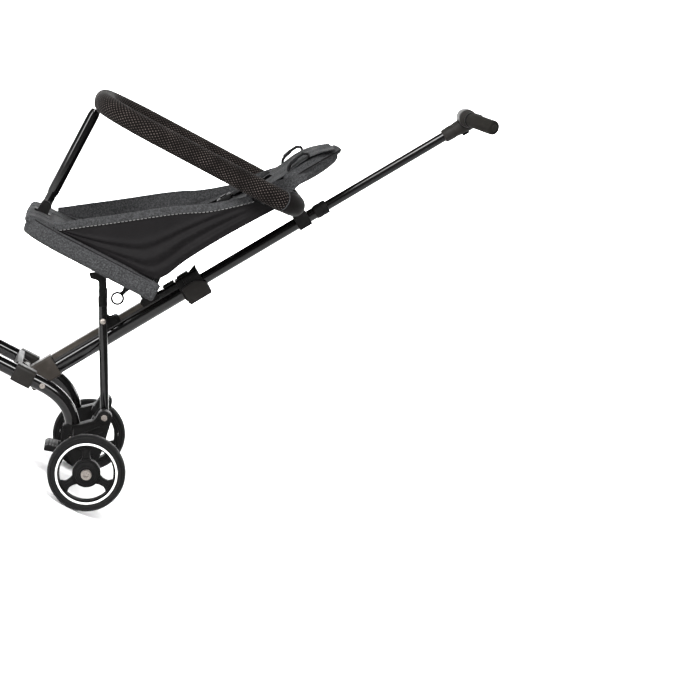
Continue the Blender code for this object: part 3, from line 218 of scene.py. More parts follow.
def bezier(p0: Vector, p1: Vector, p2: Vector, p3: Vector, steps: int) -> list[Vector]:
    """Points along a cubic curve, without its first point.

    Args:
        p0: the start.
        p1: the control point near the start.
        p2: the control point near the end.
        p3: the end.
        steps: number of points.

    Returns:
        The points, with the end.
    """
    points = []
    for k in range(1, steps + 1):
        t = k / steps
        u = 1.0 - t
        points.append(p0 * u ** 3 + p1 * 3 * u * u * t + p2 * 3 * u * t * t + p3 * t ** 3)
    return points


def along_line(points: Sequence[Vector], spacing: float) -> list[tuple[Vector, Vector]]:
    """Evenly spaced places on a line of points.

    Args:
        points: the line.
        spacing: distance between two places, in metres.

    Returns:
        (place, direction) pairs.
    """
    found = []
    carry = spacing / 2.0
    for a, b in zip(points, points[1:]):
        run = (b - a).length
        while carry < run:
            found.append((a.lerp(b, carry / run), (b - a).normalized()))
            carry += spacing
        carry -= run
    return found


class Form:
    """A mesh in the making, shaped with bmesh operators and finished as one named piece."""

    def __init__(self) -> None:
        """Starts with nothing in it."""
        self.bm = bmesh.new()

    def take(self, fresh: BMesh, where: Matrix | None = None) -> "Form":
        """Adds a shape that is placed by a matrix, and frees it.

        Args:
            fresh: the shape.
            where: the matrix, or None to leave it in place.

        Returns:
            The form.
        """
        if where is not None:
            bmesh.ops.transform(fresh, matrix=where, verts=fresh.verts)
        carrier = bpy.data.meshes.new("carrier")
        fresh.to_mesh(carrier)
        fresh.free()
        self.bm.from_mesh(carrier)
        bpy.data.meshes.remove(carrier)
        return self

    @staticmethod
    def soften(bm: BMesh, width: float, segments: int = 3, angle: float = 30.0) -> None:
        """Rounds the edges of a mesh that are sharper than an angle in degrees.

        Args:
            bm: the mesh.
            width: width of the rounding in metres.
            segments: facets across it.
            angle: least angle of an edge, in degrees.
        """
        limit = radians(angle)
        edges = [e for e in bm.edges if e.is_manifold and e.calc_face_angle(0.0) > limit]
        bmesh.ops.bevel(bm, geom=edges, offset=width, offset_type="OFFSET", segments=segments,
            profile=0.5, affect="EDGES", clamp_overlap=True, material=-1)

    def plate(self, loops: Sequence[Outline], thickness: float, where: Matrix, bevel: float = 0.0,
            segments: int = 3, lengthways: bool = False, inset: Pair | None = None) -> "Form":
        """Adds a flat outline, with holes, that is given a thickness about its middle.

        Args:
            loops: the outline and then its holes, in the frame's X and Z.
            thickness: size along the frame's Y.
            where: the frame.
            bevel: width of the rounded edges.
            segments: number of faces across a rounded edge.
            lengthways: puts the outline in Y and Z, and the thickness along X.
            inset: border and depth of a sunk panel in the face at the far end.

        Returns:
            The form.
        """
        fresh = bmesh.new()
        edges = []
        for loop in loops:
            verts = [fresh.verts.new((0.0, u, v) if lengthways else (u, 0.0, v)) for u, v in loop]
            edges += [fresh.edges.new(pair) for pair in zip(verts, verts[1:] + verts[:1])]
        if len(loops) == 1:
            bmesh.ops.contextual_create(fresh, geom=edges)
        else:
            bmesh.ops.triangle_fill(fresh, use_beauty=True, edges=edges)
        axis = AHEAD if lengthways else ACROSS
        bmesh.ops.translate(fresh, vec=axis * (-thickness / 2.0), verts=fresh.verts)
        grown = bmesh.ops.extrude_face_region(fresh, geom=fresh.faces[:])
        far = [g for g in grown["geom"] if isinstance(g, BMVert)]
        bmesh.ops.translate(fresh, vec=axis * thickness, verts=far)
        outward(fresh)
        if inset is not None:
            cap = [f for f in fresh.faces if f.normal.dot(axis) > 0.99 and len(f.verts) > 4]
            bmesh.ops.inset_region(fresh, faces=cap, thickness=inset[0], depth=0.0)
            bmesh.ops.inset_region(fresh, faces=cap, thickness=abs(inset[1]), depth=-inset[1])
        if bevel:
            self.soften(fresh, bevel, segments)
        return self.take(fresh, where)

    def box(self, low: Sequence[float], high: Sequence[float], where: Matrix,
            bevel: float = 0.002, segments: int = 3) -> "Form":
        """Adds a box between two corners of a frame, with rounded edges.

        Args:
            low: the lowest corner.
            high: the highest corner.
            where: the box's frame.
            bevel: width of the rounding, or 0 for none.
            segments: facets across the rounding.

        Returns:
            The form.
        """
        low_corner, high_corner = Vector(low), Vector(high)
        fresh = bmesh.new()
        bmesh.ops.create_cube(fresh, size=1.0)
        bmesh.ops.scale(fresh, vec=high_corner - low_corner, verts=fresh.verts)
        bmesh.ops.translate(fresh, vec=(high_corner + low_corner) / 2.0, verts=fresh.verts)
        if bevel:
            self.soften(fresh, bevel, segments)
        return self.take(fresh, where)

    def turn(self, profile: Outline, where: Matrix, steps: int = 64, ring: bool = False) -> "Form":
        """Adds a turned shape about the Z of a frame.

        Args:
            profile: (radius, height) points, from the axis to the axis or round a ring.
            where: the frame.
            steps: number of faces round the shape.
            ring: joins the profile's last point to its first.

        Returns:
            The form.
        """
        fresh = bmesh.new()
        verts = [fresh.verts.new((r, 0.0, h)) for r, h in profile]
        edges = [fresh.edges.new(pair) for pair in zip(verts, verts[1:])]
        if ring:
            edges.append(fresh.edges.new((verts[-1], verts[0])))
        bmesh.ops.spin(fresh, geom=verts + edges, cent=(0.0, 0.0, 0.0), axis=(0.0, 0.0, 1.0),
            dvec=(0.0, 0.0, 0.0), angle=tau, steps=steps, use_merge=True,
            use_normal_flip=False, use_duplicate=False)
        bmesh.ops.remove_doubles(fresh, verts=fresh.verts, dist=0.000002)
        outward(fresh)
        return self.take(fresh, where)

    def rod(self, start: Vector, end: Vector, radius: float, sides: int = 40,
            lip: float = 0.0008) -> "Form":
        """Adds a straight round bar between two places, with rounded ends.

        Args:
            start: middle of one end.
            end: middle of the other end.
            radius: the bar's radius.
            sides: facets round it.
            lip: rounding of its ends, or 0 for none.

        Returns:
            The form.
        """
        fresh = bmesh.new()
        bmesh.ops.create_cone(fresh, cap_ends=True, cap_tris=False, segments=sides, radius1=radius,
            radius2=radius, depth=(end - start).length)
        if lip:
            self.soften(fresh, lip, 2, 60.0)
        return self.take(fresh, spindle((start + end) / 2.0, (end - start).normalized()))

    def sweep(self, path: Sequence[Vector], radius: float | Sequence[float], sides: int = 40,
            closed: bool = False, lip: float = 0.0, flat: float = 1.0,
            square: float = 2.0) -> "Form":
        """Adds a bar that follows a path, with a UV map in metres.

        Args:
            path: places of its centre line.
            radius: one radius, or one for each place.
            sides: number of faces round it.
            closed: joins its end to its start.
            lip: width of the rounded edges at its ends.
            flat: its height as a share of its width.
            square: 2 for a round section, more for a squarer one.

        Returns:
            The form.
        """
        radii = [radius] * len(path) if isinstance(radius, float) else list(radius)
        fresh = bmesh.new()
        along = fresh.verts.layers.float.new("along")
        around = fresh.verts.layers.float.new("around")
        ring = bmesh.ops.create_circle(fresh, cap_ends=False, segments=sides, radius=1.0)["verts"]
        for k, vert in enumerate(ring):
            vert[around] = k / sides
            for axis in (0, 1):
                vert.co[axis] = copysign(abs(vert.co[axis]) ** (2.0 / square), vert.co[axis])
        stations = self.stations(path, radii, closed, flat)
        bmesh.ops.transform(fresh, matrix=stations[0], verts=ring)
        first = list(fresh.edges)
        edges = first
        travelled = 0.0
        for k in range(1, len(stations)):
            travelled += (path[k] - path[k - 1]).length
            grown = bmesh.ops.extrude_edge_only(fresh, edges=edges)["geom"]
            ring = [g for g in grown if isinstance(g, BMVert)]
            inside = set(ring)
            edges = [g for g in grown if isinstance(g, BMEdge) and g.verts[0] in inside
                and g.verts[1] in inside]
            bmesh.ops.transform(fresh, matrix=stations[k] @ stations[k - 1].inverted(), verts=ring)
            for vert in ring:
                vert[along] = travelled
        if closed:
            bmesh.ops.bridge_loops(fresh, edges=first + edges)
        else:
            bmesh.ops.contextual_create(fresh, geom=first)
            bmesh.ops.contextual_create(fresh, geom=edges)
        outward(fresh)
        uv = fresh.loops.layers.uv.new("UVMap")
        girth = tau * max(radii)
        for face in fresh.faces:
            far = max(loop.vert[around] for loop in face.loops)
            for loop in face.loops:
                share = loop.vert[around]
                if far - share > 0.5:
                    share += 1.0
                loop[uv].uv = (loop.vert[along], share * girth)
        if lip:
            ends = [e for e in fresh.edges if any(len(f.verts) > 4 for f in e.link_faces)]
            bmesh.ops.bevel(fresh, geom=ends, offset=lip, offset_type="OFFSET", segments=4,
                profile=0.5, affect="EDGES", clamp_overlap=True, material=-1)
        fresh.verts.layers.float.remove(fresh.verts.layers.float["along"])
        fresh.verts.layers.float.remove(fresh.verts.layers.float["around"])
        return self.take(fresh)

    @staticmethod
    def stations(path: Sequence[Vector], radii: Sequence[float], closed: bool, flat: float) -> list[
            Matrix]:
        """Frames along a path that turn as little as they can, scaled by the radii.

        Args:
            path: the centre line.
            radii: a radius for each place.
            closed: whether the path is a ring.
            flat: height over width of the section.

        Returns:
            A frame for each place.
        """
        count = len(path)
        frames = []
        side = None
        for k in range(count):
            before = path[k - 1] if k > 0 or closed else path[0]
            after = path[(k + 1) % count] if k < count - 1 or closed else path[-1]
            tangent = (after - before).normalized()
            if side is None:
                guide = UP if abs(tangent.z) < 0.9 else ACROSS
                side = tangent.cross(guide).normalized()
            side = (side - tangent * side.dot(tangent)).normalized()
            rise = tangent.cross(side)
            turn = Matrix((side, rise, tangent)).transposed().to_4x4()
            size = Matrix.Diagonal((radii[k], radii[k] * flat, radii[k], 1.0))
            frames.append(Matrix.Translation(path[k]) @ turn @ size)
        return frames

    def piece(self, name: str, body: str, finish: "Finish", replaces: Sequence[str] = (),
            sharp: float = 35.0) -> Object:
        """Finishes the form as an object that rides on a body.

        Args:
            name: the piece's name.
            body: the CAD body that it moves with.
            finish: the finish that it gets.
            replaces: CAD nodes that it stands for.
            sharp: angle in degrees above which an edge is shaded sharp.

        Returns:
            The object.
        """
        mesh = bpy.data.meshes.new(name)
        self.bm.to_mesh(mesh)
        self.bm.free()
        made = bpy.data.objects.new(name, mesh)
        bpy.context.scene.collection.objects.link(made)
        mesh.shade_smooth()
        mesh.set_sharp_from_angle(angle=radians(sharp))
        mesh.materials.append(finish.material())
        if body:
            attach(made, body)
        if replaces:
            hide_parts(*replaces)
        LOG.info("%s: %d faces on %s", name, len(mesh.polygons), body or "the stage")
        return made


class Bench:
    """The node tree of one material, with short calls to add and join its nodes."""

    def __init__(self, name: str) -> None:
        """Makes the material and keeps its Principled shader at hand.

        Args:
            name: the material's name.
        """
        self.made = bpy.data.materials.new(name)
        self.made.use_nodes = True
        self.tree = self.made.node_tree
        self.shader = self.tree.nodes["Principled BSDF"]

    def add(self, kind: str, sockets: dict | None = None, **settings: object) -> Node:
        """Adds a node, with values or links for its sockets.

        Args:
            kind: the node's type name after ShaderNode.
            sockets: values, or output sockets to join, by socket name or number.
            settings: values of the node's own properties.

        Returns:
            The node.
        """
        node = self.tree.nodes.new(f"ShaderNode{kind}")
        for key, value in settings.items():
            setattr(node, key, value)
        for key, value in (sockets or {}).items():
            if isinstance(value, NodeSocket):
                self.tree.links.new(value, node.inputs[key])
            else:
                node.inputs[key].default_value = value
        return node

    def where(self, stretch: Triple = (1.0, 1.0, 1.0), turn: Triple = (0.0, 0.0, 0.0),
            uv: bool = False) -> NodeSocket:
        """Coordinates on the piece, stretched and turned.

        Args:
            stretch: scale on each axis.
            turn: rotation in radians.
            uv: whether the piece's UV map is used.

        Returns:
            The coordinates.
        """
        source = self.add("TexCoord").outputs["UV" if uv else "Object"]
        return self.add("Mapping", {"Vector": source, "Scale": stretch, "Rotation": turn}).outputs[
            0]

    def noise(self, scale: float, vector: NodeSocket | None = None,
            detail: float = 3.0) -> NodeSocket:
        """Value of a noise with a number of features to the metre.

        Args:
            scale: features to the metre.
            vector: coordinates, or None.
            detail: octaves.

        Returns:
            The value, 0 to 1.
        """
        vector = vector or self.where()
        return self.add("TexNoise", {"Vector": vector, "Scale": scale, "Detail": detail,
            "Roughness": 0.55}).outputs[0]

    def span(self, value: NodeSocket, low: float, high: float, start: float = 0.3,
            end: float = 0.7) -> NodeSocket:
        """Brings a value from one range into another."""
        return self.add("MapRange", {"Value": value, "From Min": start, "From Max": end,
            "To Min": low, "To Max": high}).outputs[0]

    def sum(self, operation: str, a: object, b: object = 0.0) -> NodeSocket:
        """Result of one calculation on two values."""
        return self.add("Math", {0: a, 1: b}, operation=operation).outputs[0]

    def mix(self, share: object, a: Sequence[float] | NodeSocket,
            b: Sequence[float] | NodeSocket) -> NodeSocket:
        """Colour between two colours.

        Args:
            share: share of the second colour.
            a: the first colour.
            b: the second colour.

        Returns:
            The mixed colour.
        """
        node = self.add("Mix", data_type="RGBA")
        for socket, value in ((node.inputs[0], share), (node.inputs[6], a), (node.inputs[7], b)):
            if isinstance(value, NodeSocket):
                self.tree.links.new(value, socket)
            else:
                socket.default_value = (*value, 1.0) if isinstance(value, tuple) else value
        return node.outputs[2]

    def relief(self, height: NodeSocket, depth: float, strength: float = 1.0,
            below: NodeSocket | None = None) -> NodeSocket:
        """Normal of a relief whose full height is a depth in metres.

        Args:
            height: the height, 0 to 1.
            depth: the full height in metres.
            strength: share of it that shows.
            below: the normal of a coarser relief.

        Returns:
            The normal.
        """
        sockets = {"Height": height, "Distance": depth, "Strength": strength}
        if below is not None:
            sockets["Normal"] = below
        return self.add("Bump", sockets).outputs[0]

    def close(self, **sockets: object) -> Material:
        """Sets or joins the shader's sockets, named with _ for a space, and ends the work.

        Args:
            sockets: values, or output sockets to join.

        Returns:
            The material.
        """
        for key, value in sockets.items():
            socket = self.shader.inputs[key.replace("_", " ")]
            if isinstance(value, NodeSocket):
                self.tree.links.new(value, socket)
            else:
                socket.default_value = (*value, 1.0) if isinstance(value, tuple) else value
        return self.made


class Surface(Enum):
    """The ways in which a finish is made."""

    LACQUER = "lacquer"
    MOULDED = "moulded"
    METAL = "metal"
    RUBBER = "rubber"
    SPACER_MESH = "spacer mesh"
    HEATHER = "heather weave"
    PLAIN_WEAVE = "plain weave"
    WEBBING = "webbing"
    FLOOR = "floor"


@dataclass(frozen=True)
class Finish:
    """One finish of the stroller's pieces."""

    name: str
    slot: str
    surface: Surface
    colour: Triple
    roughness: float = 0.5
    gloss: float = 0.5

    def shade(self, factor: float) -> Triple:
        """The finish's colour, lighter or darker."""
        return tuple(min(1.0, channel * factor) for channel in self.colour)

    def tone(self, bench: Bench, cloud: NodeSocket, dark: float, light: float) -> NodeSocket:
        """The finish's colour, darker and lighter as a cloud goes."""
        return bench.mix(bench.span(cloud, 0.0, 1.0), self.shade(dark), self.shade(light))

    def dulled(self, bench: Bench, cloud: NodeSocket, low: float, high: float) -> NodeSocket:
        """The finish's roughness, lower and higher as a cloud goes."""
        return bench.span(cloud, self.roughness * low, self.roughness * high)

    def material(self) -> Material:
        """The finish's material, made once.

        Returns:
            The material.
        """
        known = bpy.data.materials.get(self.name)
        if known is not None:
            return known
        return getattr(self, f"_{self.surface.name.lower()}")(Bench(self.name))

    def _lacquer(self, bench: Bench) -> Material:
        """Gloss lacquer on metal, with a faint orange peel and rubbed patches.

        Args:
            bench: the material's node tree.

        Returns:
            The material.
        """
        patches = bench.noise(14.0, detail=5.0)
        peel = bench.relief(bench.noise(420.0), 0.00004, 0.35)
        return bench.close(Base_Color=self.tone(bench, patches, 0.85, 1.25),
            Roughness=self.dulled(bench, patches, 0.75, 1.35), Specular_IOR_Level=self.gloss,
            Normal=peel)

    def _moulded(self, bench: Bench) -> Material:
        """Moulded plastic with a fine pebbled grain and paler rubbed edges.

        Args:
            bench: the material's node tree.

        Returns:
            The material.
        """
        grain = bench.add("TexVoronoi", {"Vector": bench.where(), "Scale": 950.0}).outputs[0]
        cloud = bench.noise(22.0, detail=4.0)
        edge = bench.add("NewGeometry").outputs["Pointiness"]
        worn = bench.sum("MULTIPLY", bench.span(edge, 0.0, 0.35, 0.53, 0.6),
            bench.span(bench.noise(90.0), 0.2, 1.0))
        tone = self.tone(bench, cloud, 0.88, 1.14)
        return bench.close(Base_Color=bench.mix(worn, tone, self.shade(2.4)),
            Roughness=self.dulled(bench, cloud, 0.88, 1.14), Specular_IOR_Level=self.gloss,
            Normal=bench.relief(grain, 0.00012, 0.45))

    def _metal(self, bench: Bench) -> Material:
        """Zinc-plated steel with fine turning marks and dulled patches.

        Args:
            bench: the material's node tree.

        Returns:
            The material.
        """
        marks = bench.noise(900.0, bench.where((1.0, 0.12, 1.0)))
        dull = bench.noise(60.0, detail=5.0)
        return bench.close(Base_Color=self.tone(bench, dull, 0.8, 1.0), Metallic=1.0,
            Roughness=self.dulled(bench, dull, 0.7, 1.4), Normal=bench.relief(marks, 0.00003, 0.5))

    def _rubber(self, bench: Bench) -> Material:
        """Matte rubber with a dusty bloom and tiny pits.

        Args:
            bench: the material's node tree.

        Returns:
            The material.
        """
        bloom = bench.noise(35.0, detail=6.0)
        pits = bench.noise(1500.0)
        return bench.close(Base_Color=self.tone(bench, bloom, 0.85, 1.3),
            Roughness=self.dulled(bench, bloom, 0.9, 1.1), Specular_IOR_Level=self.gloss,
            Normal=bench.relief(pits, 0.00005, 0.5))

    def _spacer_mesh(self, bench: Bench) -> Material:
        """Warp-knitted spacer mesh: staggered holes in a springy knit, mapped in metres.

        Args:
            bench: the material's node tree.

        Returns:
            The material.
        """
        cells = []
        for shift in ((0.0, 0.0, 0.0), (0.5, 0.5, 0.0)):
            source = bench.add("TexCoord").outputs["UV"]
            vector = bench.add("Mapping", {"Vector": source, "Location": shift,
                "Scale": (1 / 0.0078, 1 / 0.0066, 1.0)}).outputs[0]
            cells.append(bench.add("TexVoronoi", {"Vector": vector, "Scale": 1.0,
                "Randomness": 0.06}, voronoi_dimensions="2D").outputs[0])
        near = bench.sum("MINIMUM", *cells)
        dot = bench.span(near, 1.0, 0.0, 0.1, 0.21)
        cloud = bench.noise(30.0, detail=5.0)
        shine = self.tone(bench, cloud, 7.0, 26.0)
        return bench.close(Base_Color=bench.mix(dot, self.colour, shine), Roughness=self.roughness,
            Specular_IOR_Level=self.gloss, Sheen_Weight=0.02, Sheen_Roughness=0.5,
            Normal=bench.relief(dot, 0.0005, 0.8))

    def _heather(self, bench: Bench) -> Material:
        """Heather weave: light and dark yarns crossing, on the piece's own coordinates.

        Args:
            bench: the material's node tree.

        Returns:
            The material.
        """
        warp = bench.noise(1.0, bench.where((820.0, 300.0, 820.0)), 2.0)
        weft = bench.noise(1.0, bench.where((300.0, 820.0, 300.0)), 2.0)
        yarn = bench.sum("MULTIPLY", bench.span(warp, 0.35, 1.0, 0.36, 0.62),
            bench.span(weft, 0.45, 1.0, 0.36, 0.62))
        threads = bench.sum("MULTIPLY", self._ribs(bench, 620.0, (1.0, 0.0, 1.0)),
            self._ribs(bench, 620.0, (0.0, 1.0, 0.0)))
        tone = bench.mix(yarn, self.shade(0.3), self.shade(3.8))
        rubbed = bench.mix(bench.span(bench.noise(9.0, detail=4.0), 0.0, 0.1), tone,
            self.shade(1.9))
        height = bench.sum("ADD", bench.sum("MULTIPLY", yarn, 0.5), threads)
        return bench.close(Base_Color=rubbed, Roughness=self.roughness, Sheen_Weight=0.02,
            Specular_IOR_Level=self.gloss, Sheen_Roughness=0.45,
            Normal=bench.relief(height, 0.00022, 0.7))

    def _ribs(self, bench: Bench, scale: float, way: Triple) -> NodeSocket:
        """Fine ribs of yarn across one direction, 0 to 1.

        Args:
            bench: the material's node tree.
            scale: ribs to the metre.
            way: the direction across the ribs.

        Returns:
            The height.
        """
        split = bench.add("SeparateXYZ", {0: bench.where((scale,) * 3)})
        value = bench.sum("ADD", bench.sum("MULTIPLY", split.outputs[0], way[0]),
            bench.sum("MULTIPLY", split.outputs[1], way[1]))
        value = bench.sum("ADD", value, bench.sum("MULTIPLY", split.outputs[2], way[2]))
        wave = bench.sum("SINE", bench.sum("MULTIPLY", value, tau))
        return bench.span(wave, 0.0, 1.0, -1.0, 1.0)

    def _plain_weave(self, bench: Bench) -> Material:
        """Smooth tightly woven polyester with slubs and soft creases.

        Args:
            bench: the material's node tree.

        Returns:
            The material.
        """
        slubs = bench.noise(1.0, bench.where((900.0, 90.0, 260.0)), 2.0)
        threads = bench.sum("ADD", self._ribs(bench, 950.0, (1.0, 0.0, 0.45)),
            self._ribs(bench, 950.0, (-0.45, 0.0, 1.0)))
        cloud = bench.noise(12.0, detail=5.0)
        tone = self.tone(bench, cloud, 0.86, 1.16)
        tone = bench.mix(bench.span(slubs, 0.0, 0.4, 0.55, 0.7), tone, self.shade(1.6))
        creases = bench.relief(bench.noise(26.0, bench.where((1.0, 1.0, 1.8)), 4.0), 0.0022, 0.35)
        return bench.close(Base_Color=tone, Roughness=self.roughness, Sheen_Weight=0.01,
            Specular_IOR_Level=self.gloss, Sheen_Roughness=0.35,
            Normal=bench.relief(threads, 0.00008, 0.6, creases))

    def _webbing(self, bench: Bench) -> Material:
        """Woven webbing or thread with fine ribs along it.

        Args:
            bench: the material's node tree.

        Returns:
            The material.
        """
        ribs = self._ribs(bench, 480.0, (0.4, 1.0, 0.6))
        cloud = bench.noise(120.0)
        return bench.close(Base_Color=self.tone(bench, cloud, 0.8, 1.2), Roughness=self.roughness,
            Specular_IOR_Level=self.gloss, Normal=bench.relief(ribs, 0.0002, 0.6))

    def _floor(self, bench: Bench) -> Material:
        """Plain pale floor with a hardly seen mottle."""
        cloud = bench.noise(3.0)
        return bench.close(Base_Color=self.tone(bench, cloud, 0.98, 1.0), Roughness=self.roughness)


class Finishes:
    """Every finish on the stroller."""

    TUBE = Finish("gloss_black_tube", "tube_black", Surface.LACQUER, (0.002, 0.0019, 0.0019), 0.12,
        0.33)
    PLASTIC = Finish("black_moulded", "black_plastic", Surface.MOULDED, (0.0036, 0.0035, 0.0035),
        0.56, 0.08)
    SATIN = Finish("grey_satin_moulded", "grey_plastic", Surface.MOULDED, (0.0105, 0.0096, 0.0088),
        0.5, 0.1)
    # Brown-grey moulding: the knuckle's own grey, and the painted reflection laid on the main tube's box
    # faces.
    GREY_AND_PAINTED_REFLECTION = Finish("brown_grey_moulded", "grey_plastic", Surface.MOULDED,
        (0.025, 0.0215, 0.0185), 0.42, 0.12)
    STEEL = Finish("zinc_steel", "steel", Surface.METAL, (0.26, 0.235, 0.215), 0.3)
    TYRE = Finish("tyre_rubber", "tyre", Surface.RUBBER, (0.0038, 0.0037, 0.0038), 0.58, 0.12)
    GRIP = Finish("grip_foam", "mesh_foam", Surface.RUBBER, (0.008, 0.0074, 0.0064), 0.8, 0.06)
    RING = Finish("white_ring", "rim", Surface.MOULDED, (0.78, 0.78, 0.77), 0.3, 0.4)
    MESH = Finish("dotted_spacer_mesh", "mesh_foam", Surface.SPACER_MESH, (0.003, 0.0025, 0.0023),
        0.88, 0.03)
    CUFF = Finish("smooth_cuff", "mesh_foam", Surface.RUBBER, (0.0036, 0.0031, 0.0029), 0.75, 0.06)
    MELANGE = Finish("grey_melange", "melange_cloth", Surface.HEATHER, (0.014, 0.0142, 0.0147),
        0.88, 0.04)
    CHARCOAL = Finish("charcoal_polyester", "charcoal_cloth", Surface.PLAIN_WEAVE,
        (0.0048, 0.0044, 0.0047), 0.62, 0.06)
    WEBBING = Finish("black_webbing", "charcoal_cloth", Surface.WEBBING, (0.0045, 0.0045, 0.005),
        0.75, 0.1)
    THREAD = Finish("pale_thread", "melange_cloth", Surface.WEBBING, (0.125, 0.125, 0.123), 0.8,
        0.05)
    FLOOR = Finish("pale_floor", "", Surface.FLOOR, (0.93, 0.93, 0.93), 0.7)


@dataclass
class Wheel:
    """Tyre, rim with three flared spokes, side rings and hub of one wheel."""

    name: str
    body: str
    x: float
    z: float
    y: float
    radius: float
    half: float
    bore: float
    spoke_angle: float = radians(118.0)

    def frame(self) -> Matrix:
        """Frame with its Z along the axle."""
        return Matrix.Translation(place(self.x, self.z, self.y)) @ Matrix.Rotation(-pi / 2.0,
            4, "X")

    def mirrored(self, half_profile: Outline) -> list[Pair]:
        """A profile given from its top to its middle, with its lower half added."""
        return list(half_profile) + [(r, -h) for r, h in reversed(half_profile) if h > 1e-9]

    def shares(self, *rows: Pair) -> list[Pair]:
        """A profile given in shares of the radius and of the half width."""
        return [(r * self.radius, h * self.half) for r, h in rows]

    def tyre(self) -> None:
        """Solid tyre with shoulder lines and two fine grooves in its tread."""
        crown = self.shares((0.8, 0.84), (0.806, 0.93), (0.83, 0.985), (0.865, 1.0), (0.886, 0.995),
            (0.894, 0.96), (0.904, 0.9), (0.916, 0.945), (0.936, 0.925), (0.958, 0.83),
            (0.974, 0.7), (0.981, 0.6), (0.966, 0.585), (0.966, 0.525), (0.986, 0.51),
            (0.994, 0.36), (0.999, 0.18), (1.0, 0.0))
        Form().turn(self.mirrored(crown), self.frame(), 112, ring=True).piece(
            f"{self.name}_tyre_rubber", self.body, Finishes.TYRE, [f"{self.name}_tyre"], 24.0)

    def rim(self) -> None:
        """Deep black rim, spokes and stepped hub, and the pale rings on its sides."""
        r, h = self.radius, self.half
        barrel = self.shares((0.796, 0.8), (0.742, 0.84), (0.716, 0.84),
            (0.703, 0.76), (0.69, 0.3), (0.684, 0.0))
        form = Form().turn(self.mirrored(barrel), self.frame(), 96, ring=True)
        hub = 0.36 * r
        bore = self.bore + 0.0005
        end = h + 0.002
        top = [(bore, end - 0.0006), (bore + 0.0006, end), (0.17 * r, end),
            (0.185 * r, end - 0.0006), (0.19 * r, end - 0.0022), (0.27 * r, end - 0.0026),
            (0.29 * r, end - 0.0034), (0.3 * r, end - 0.0062), (hub - 0.0016, end - 0.0066),
            (hub, end - 0.0084)]
        form.turn(top + [(q, -w) for q, w in reversed(top)], self.frame(), 72, ring=True)
        for k in range(3):
            turn = Matrix.Rotation(-(self.spoke_angle + k * tau / 3.0), 4, "Y")
            where = side_frame(self.x, self.z, self.y) @ turn
            form.plate([self.spoke(hub, 0.7 * r)], 0.0116, where, 0.0016)
            form.plate([rounded([(hub + 0.003, -0.0022, 0.001), (0.63 * r, -0.003, 0.001),
                (0.63 * r, 0.003, 0.001), (hub + 0.003, 0.0022, 0.001)], 2)], 0.014, where,
                0.0008, 2)
        form.piece(f"{self.name}_spoked_rim", self.body, Finishes.PLASTIC, [f"{self.name}_rim"],
            28.0)
        out = copysign(h, self.y)
        band = [(0.7435 * r, 0.85 * out), (0.7445 * r, 0.915 * out), (0.752 * r, 0.945 * out),
            (0.768 * r, 0.955 * out), (0.784 * r, 0.945 * out), (0.7915 * r, 0.915 * out),
            (0.7925 * r, 0.85 * out)]
        Form().turn(band, self.frame(), 112, ring=True).piece(f"{self.name}_side_ring", self.body,
            Finishes.RING, (), 40.0)

    def spoke(self, inner: float, outer: float) -> Outline:
        """Outline of a spoke along +X that flares into the rim like a T.

        Args:
            inner: radius at the hub.
            outer: radius at the rim.

        Returns:
            The outline.
        """
        waist, foot, flare = 0.0072, 0.01, 0.0165
        return rounded([(inner - 0.004, -foot, 0.001), (inner + 0.006, -waist, 0.01),
            (outer - 0.01, -waist, 0.009), (outer + 0.0015, -flare, 0.001),
            (outer + 0.003, 0.0, 0.03), (outer + 0.0015, flare, 0.001),
            (outer - 0.01, waist, 0.009), (inner + 0.006, waist, 0.01),
            (inner - 0.004, foot, 0.001)], 5)


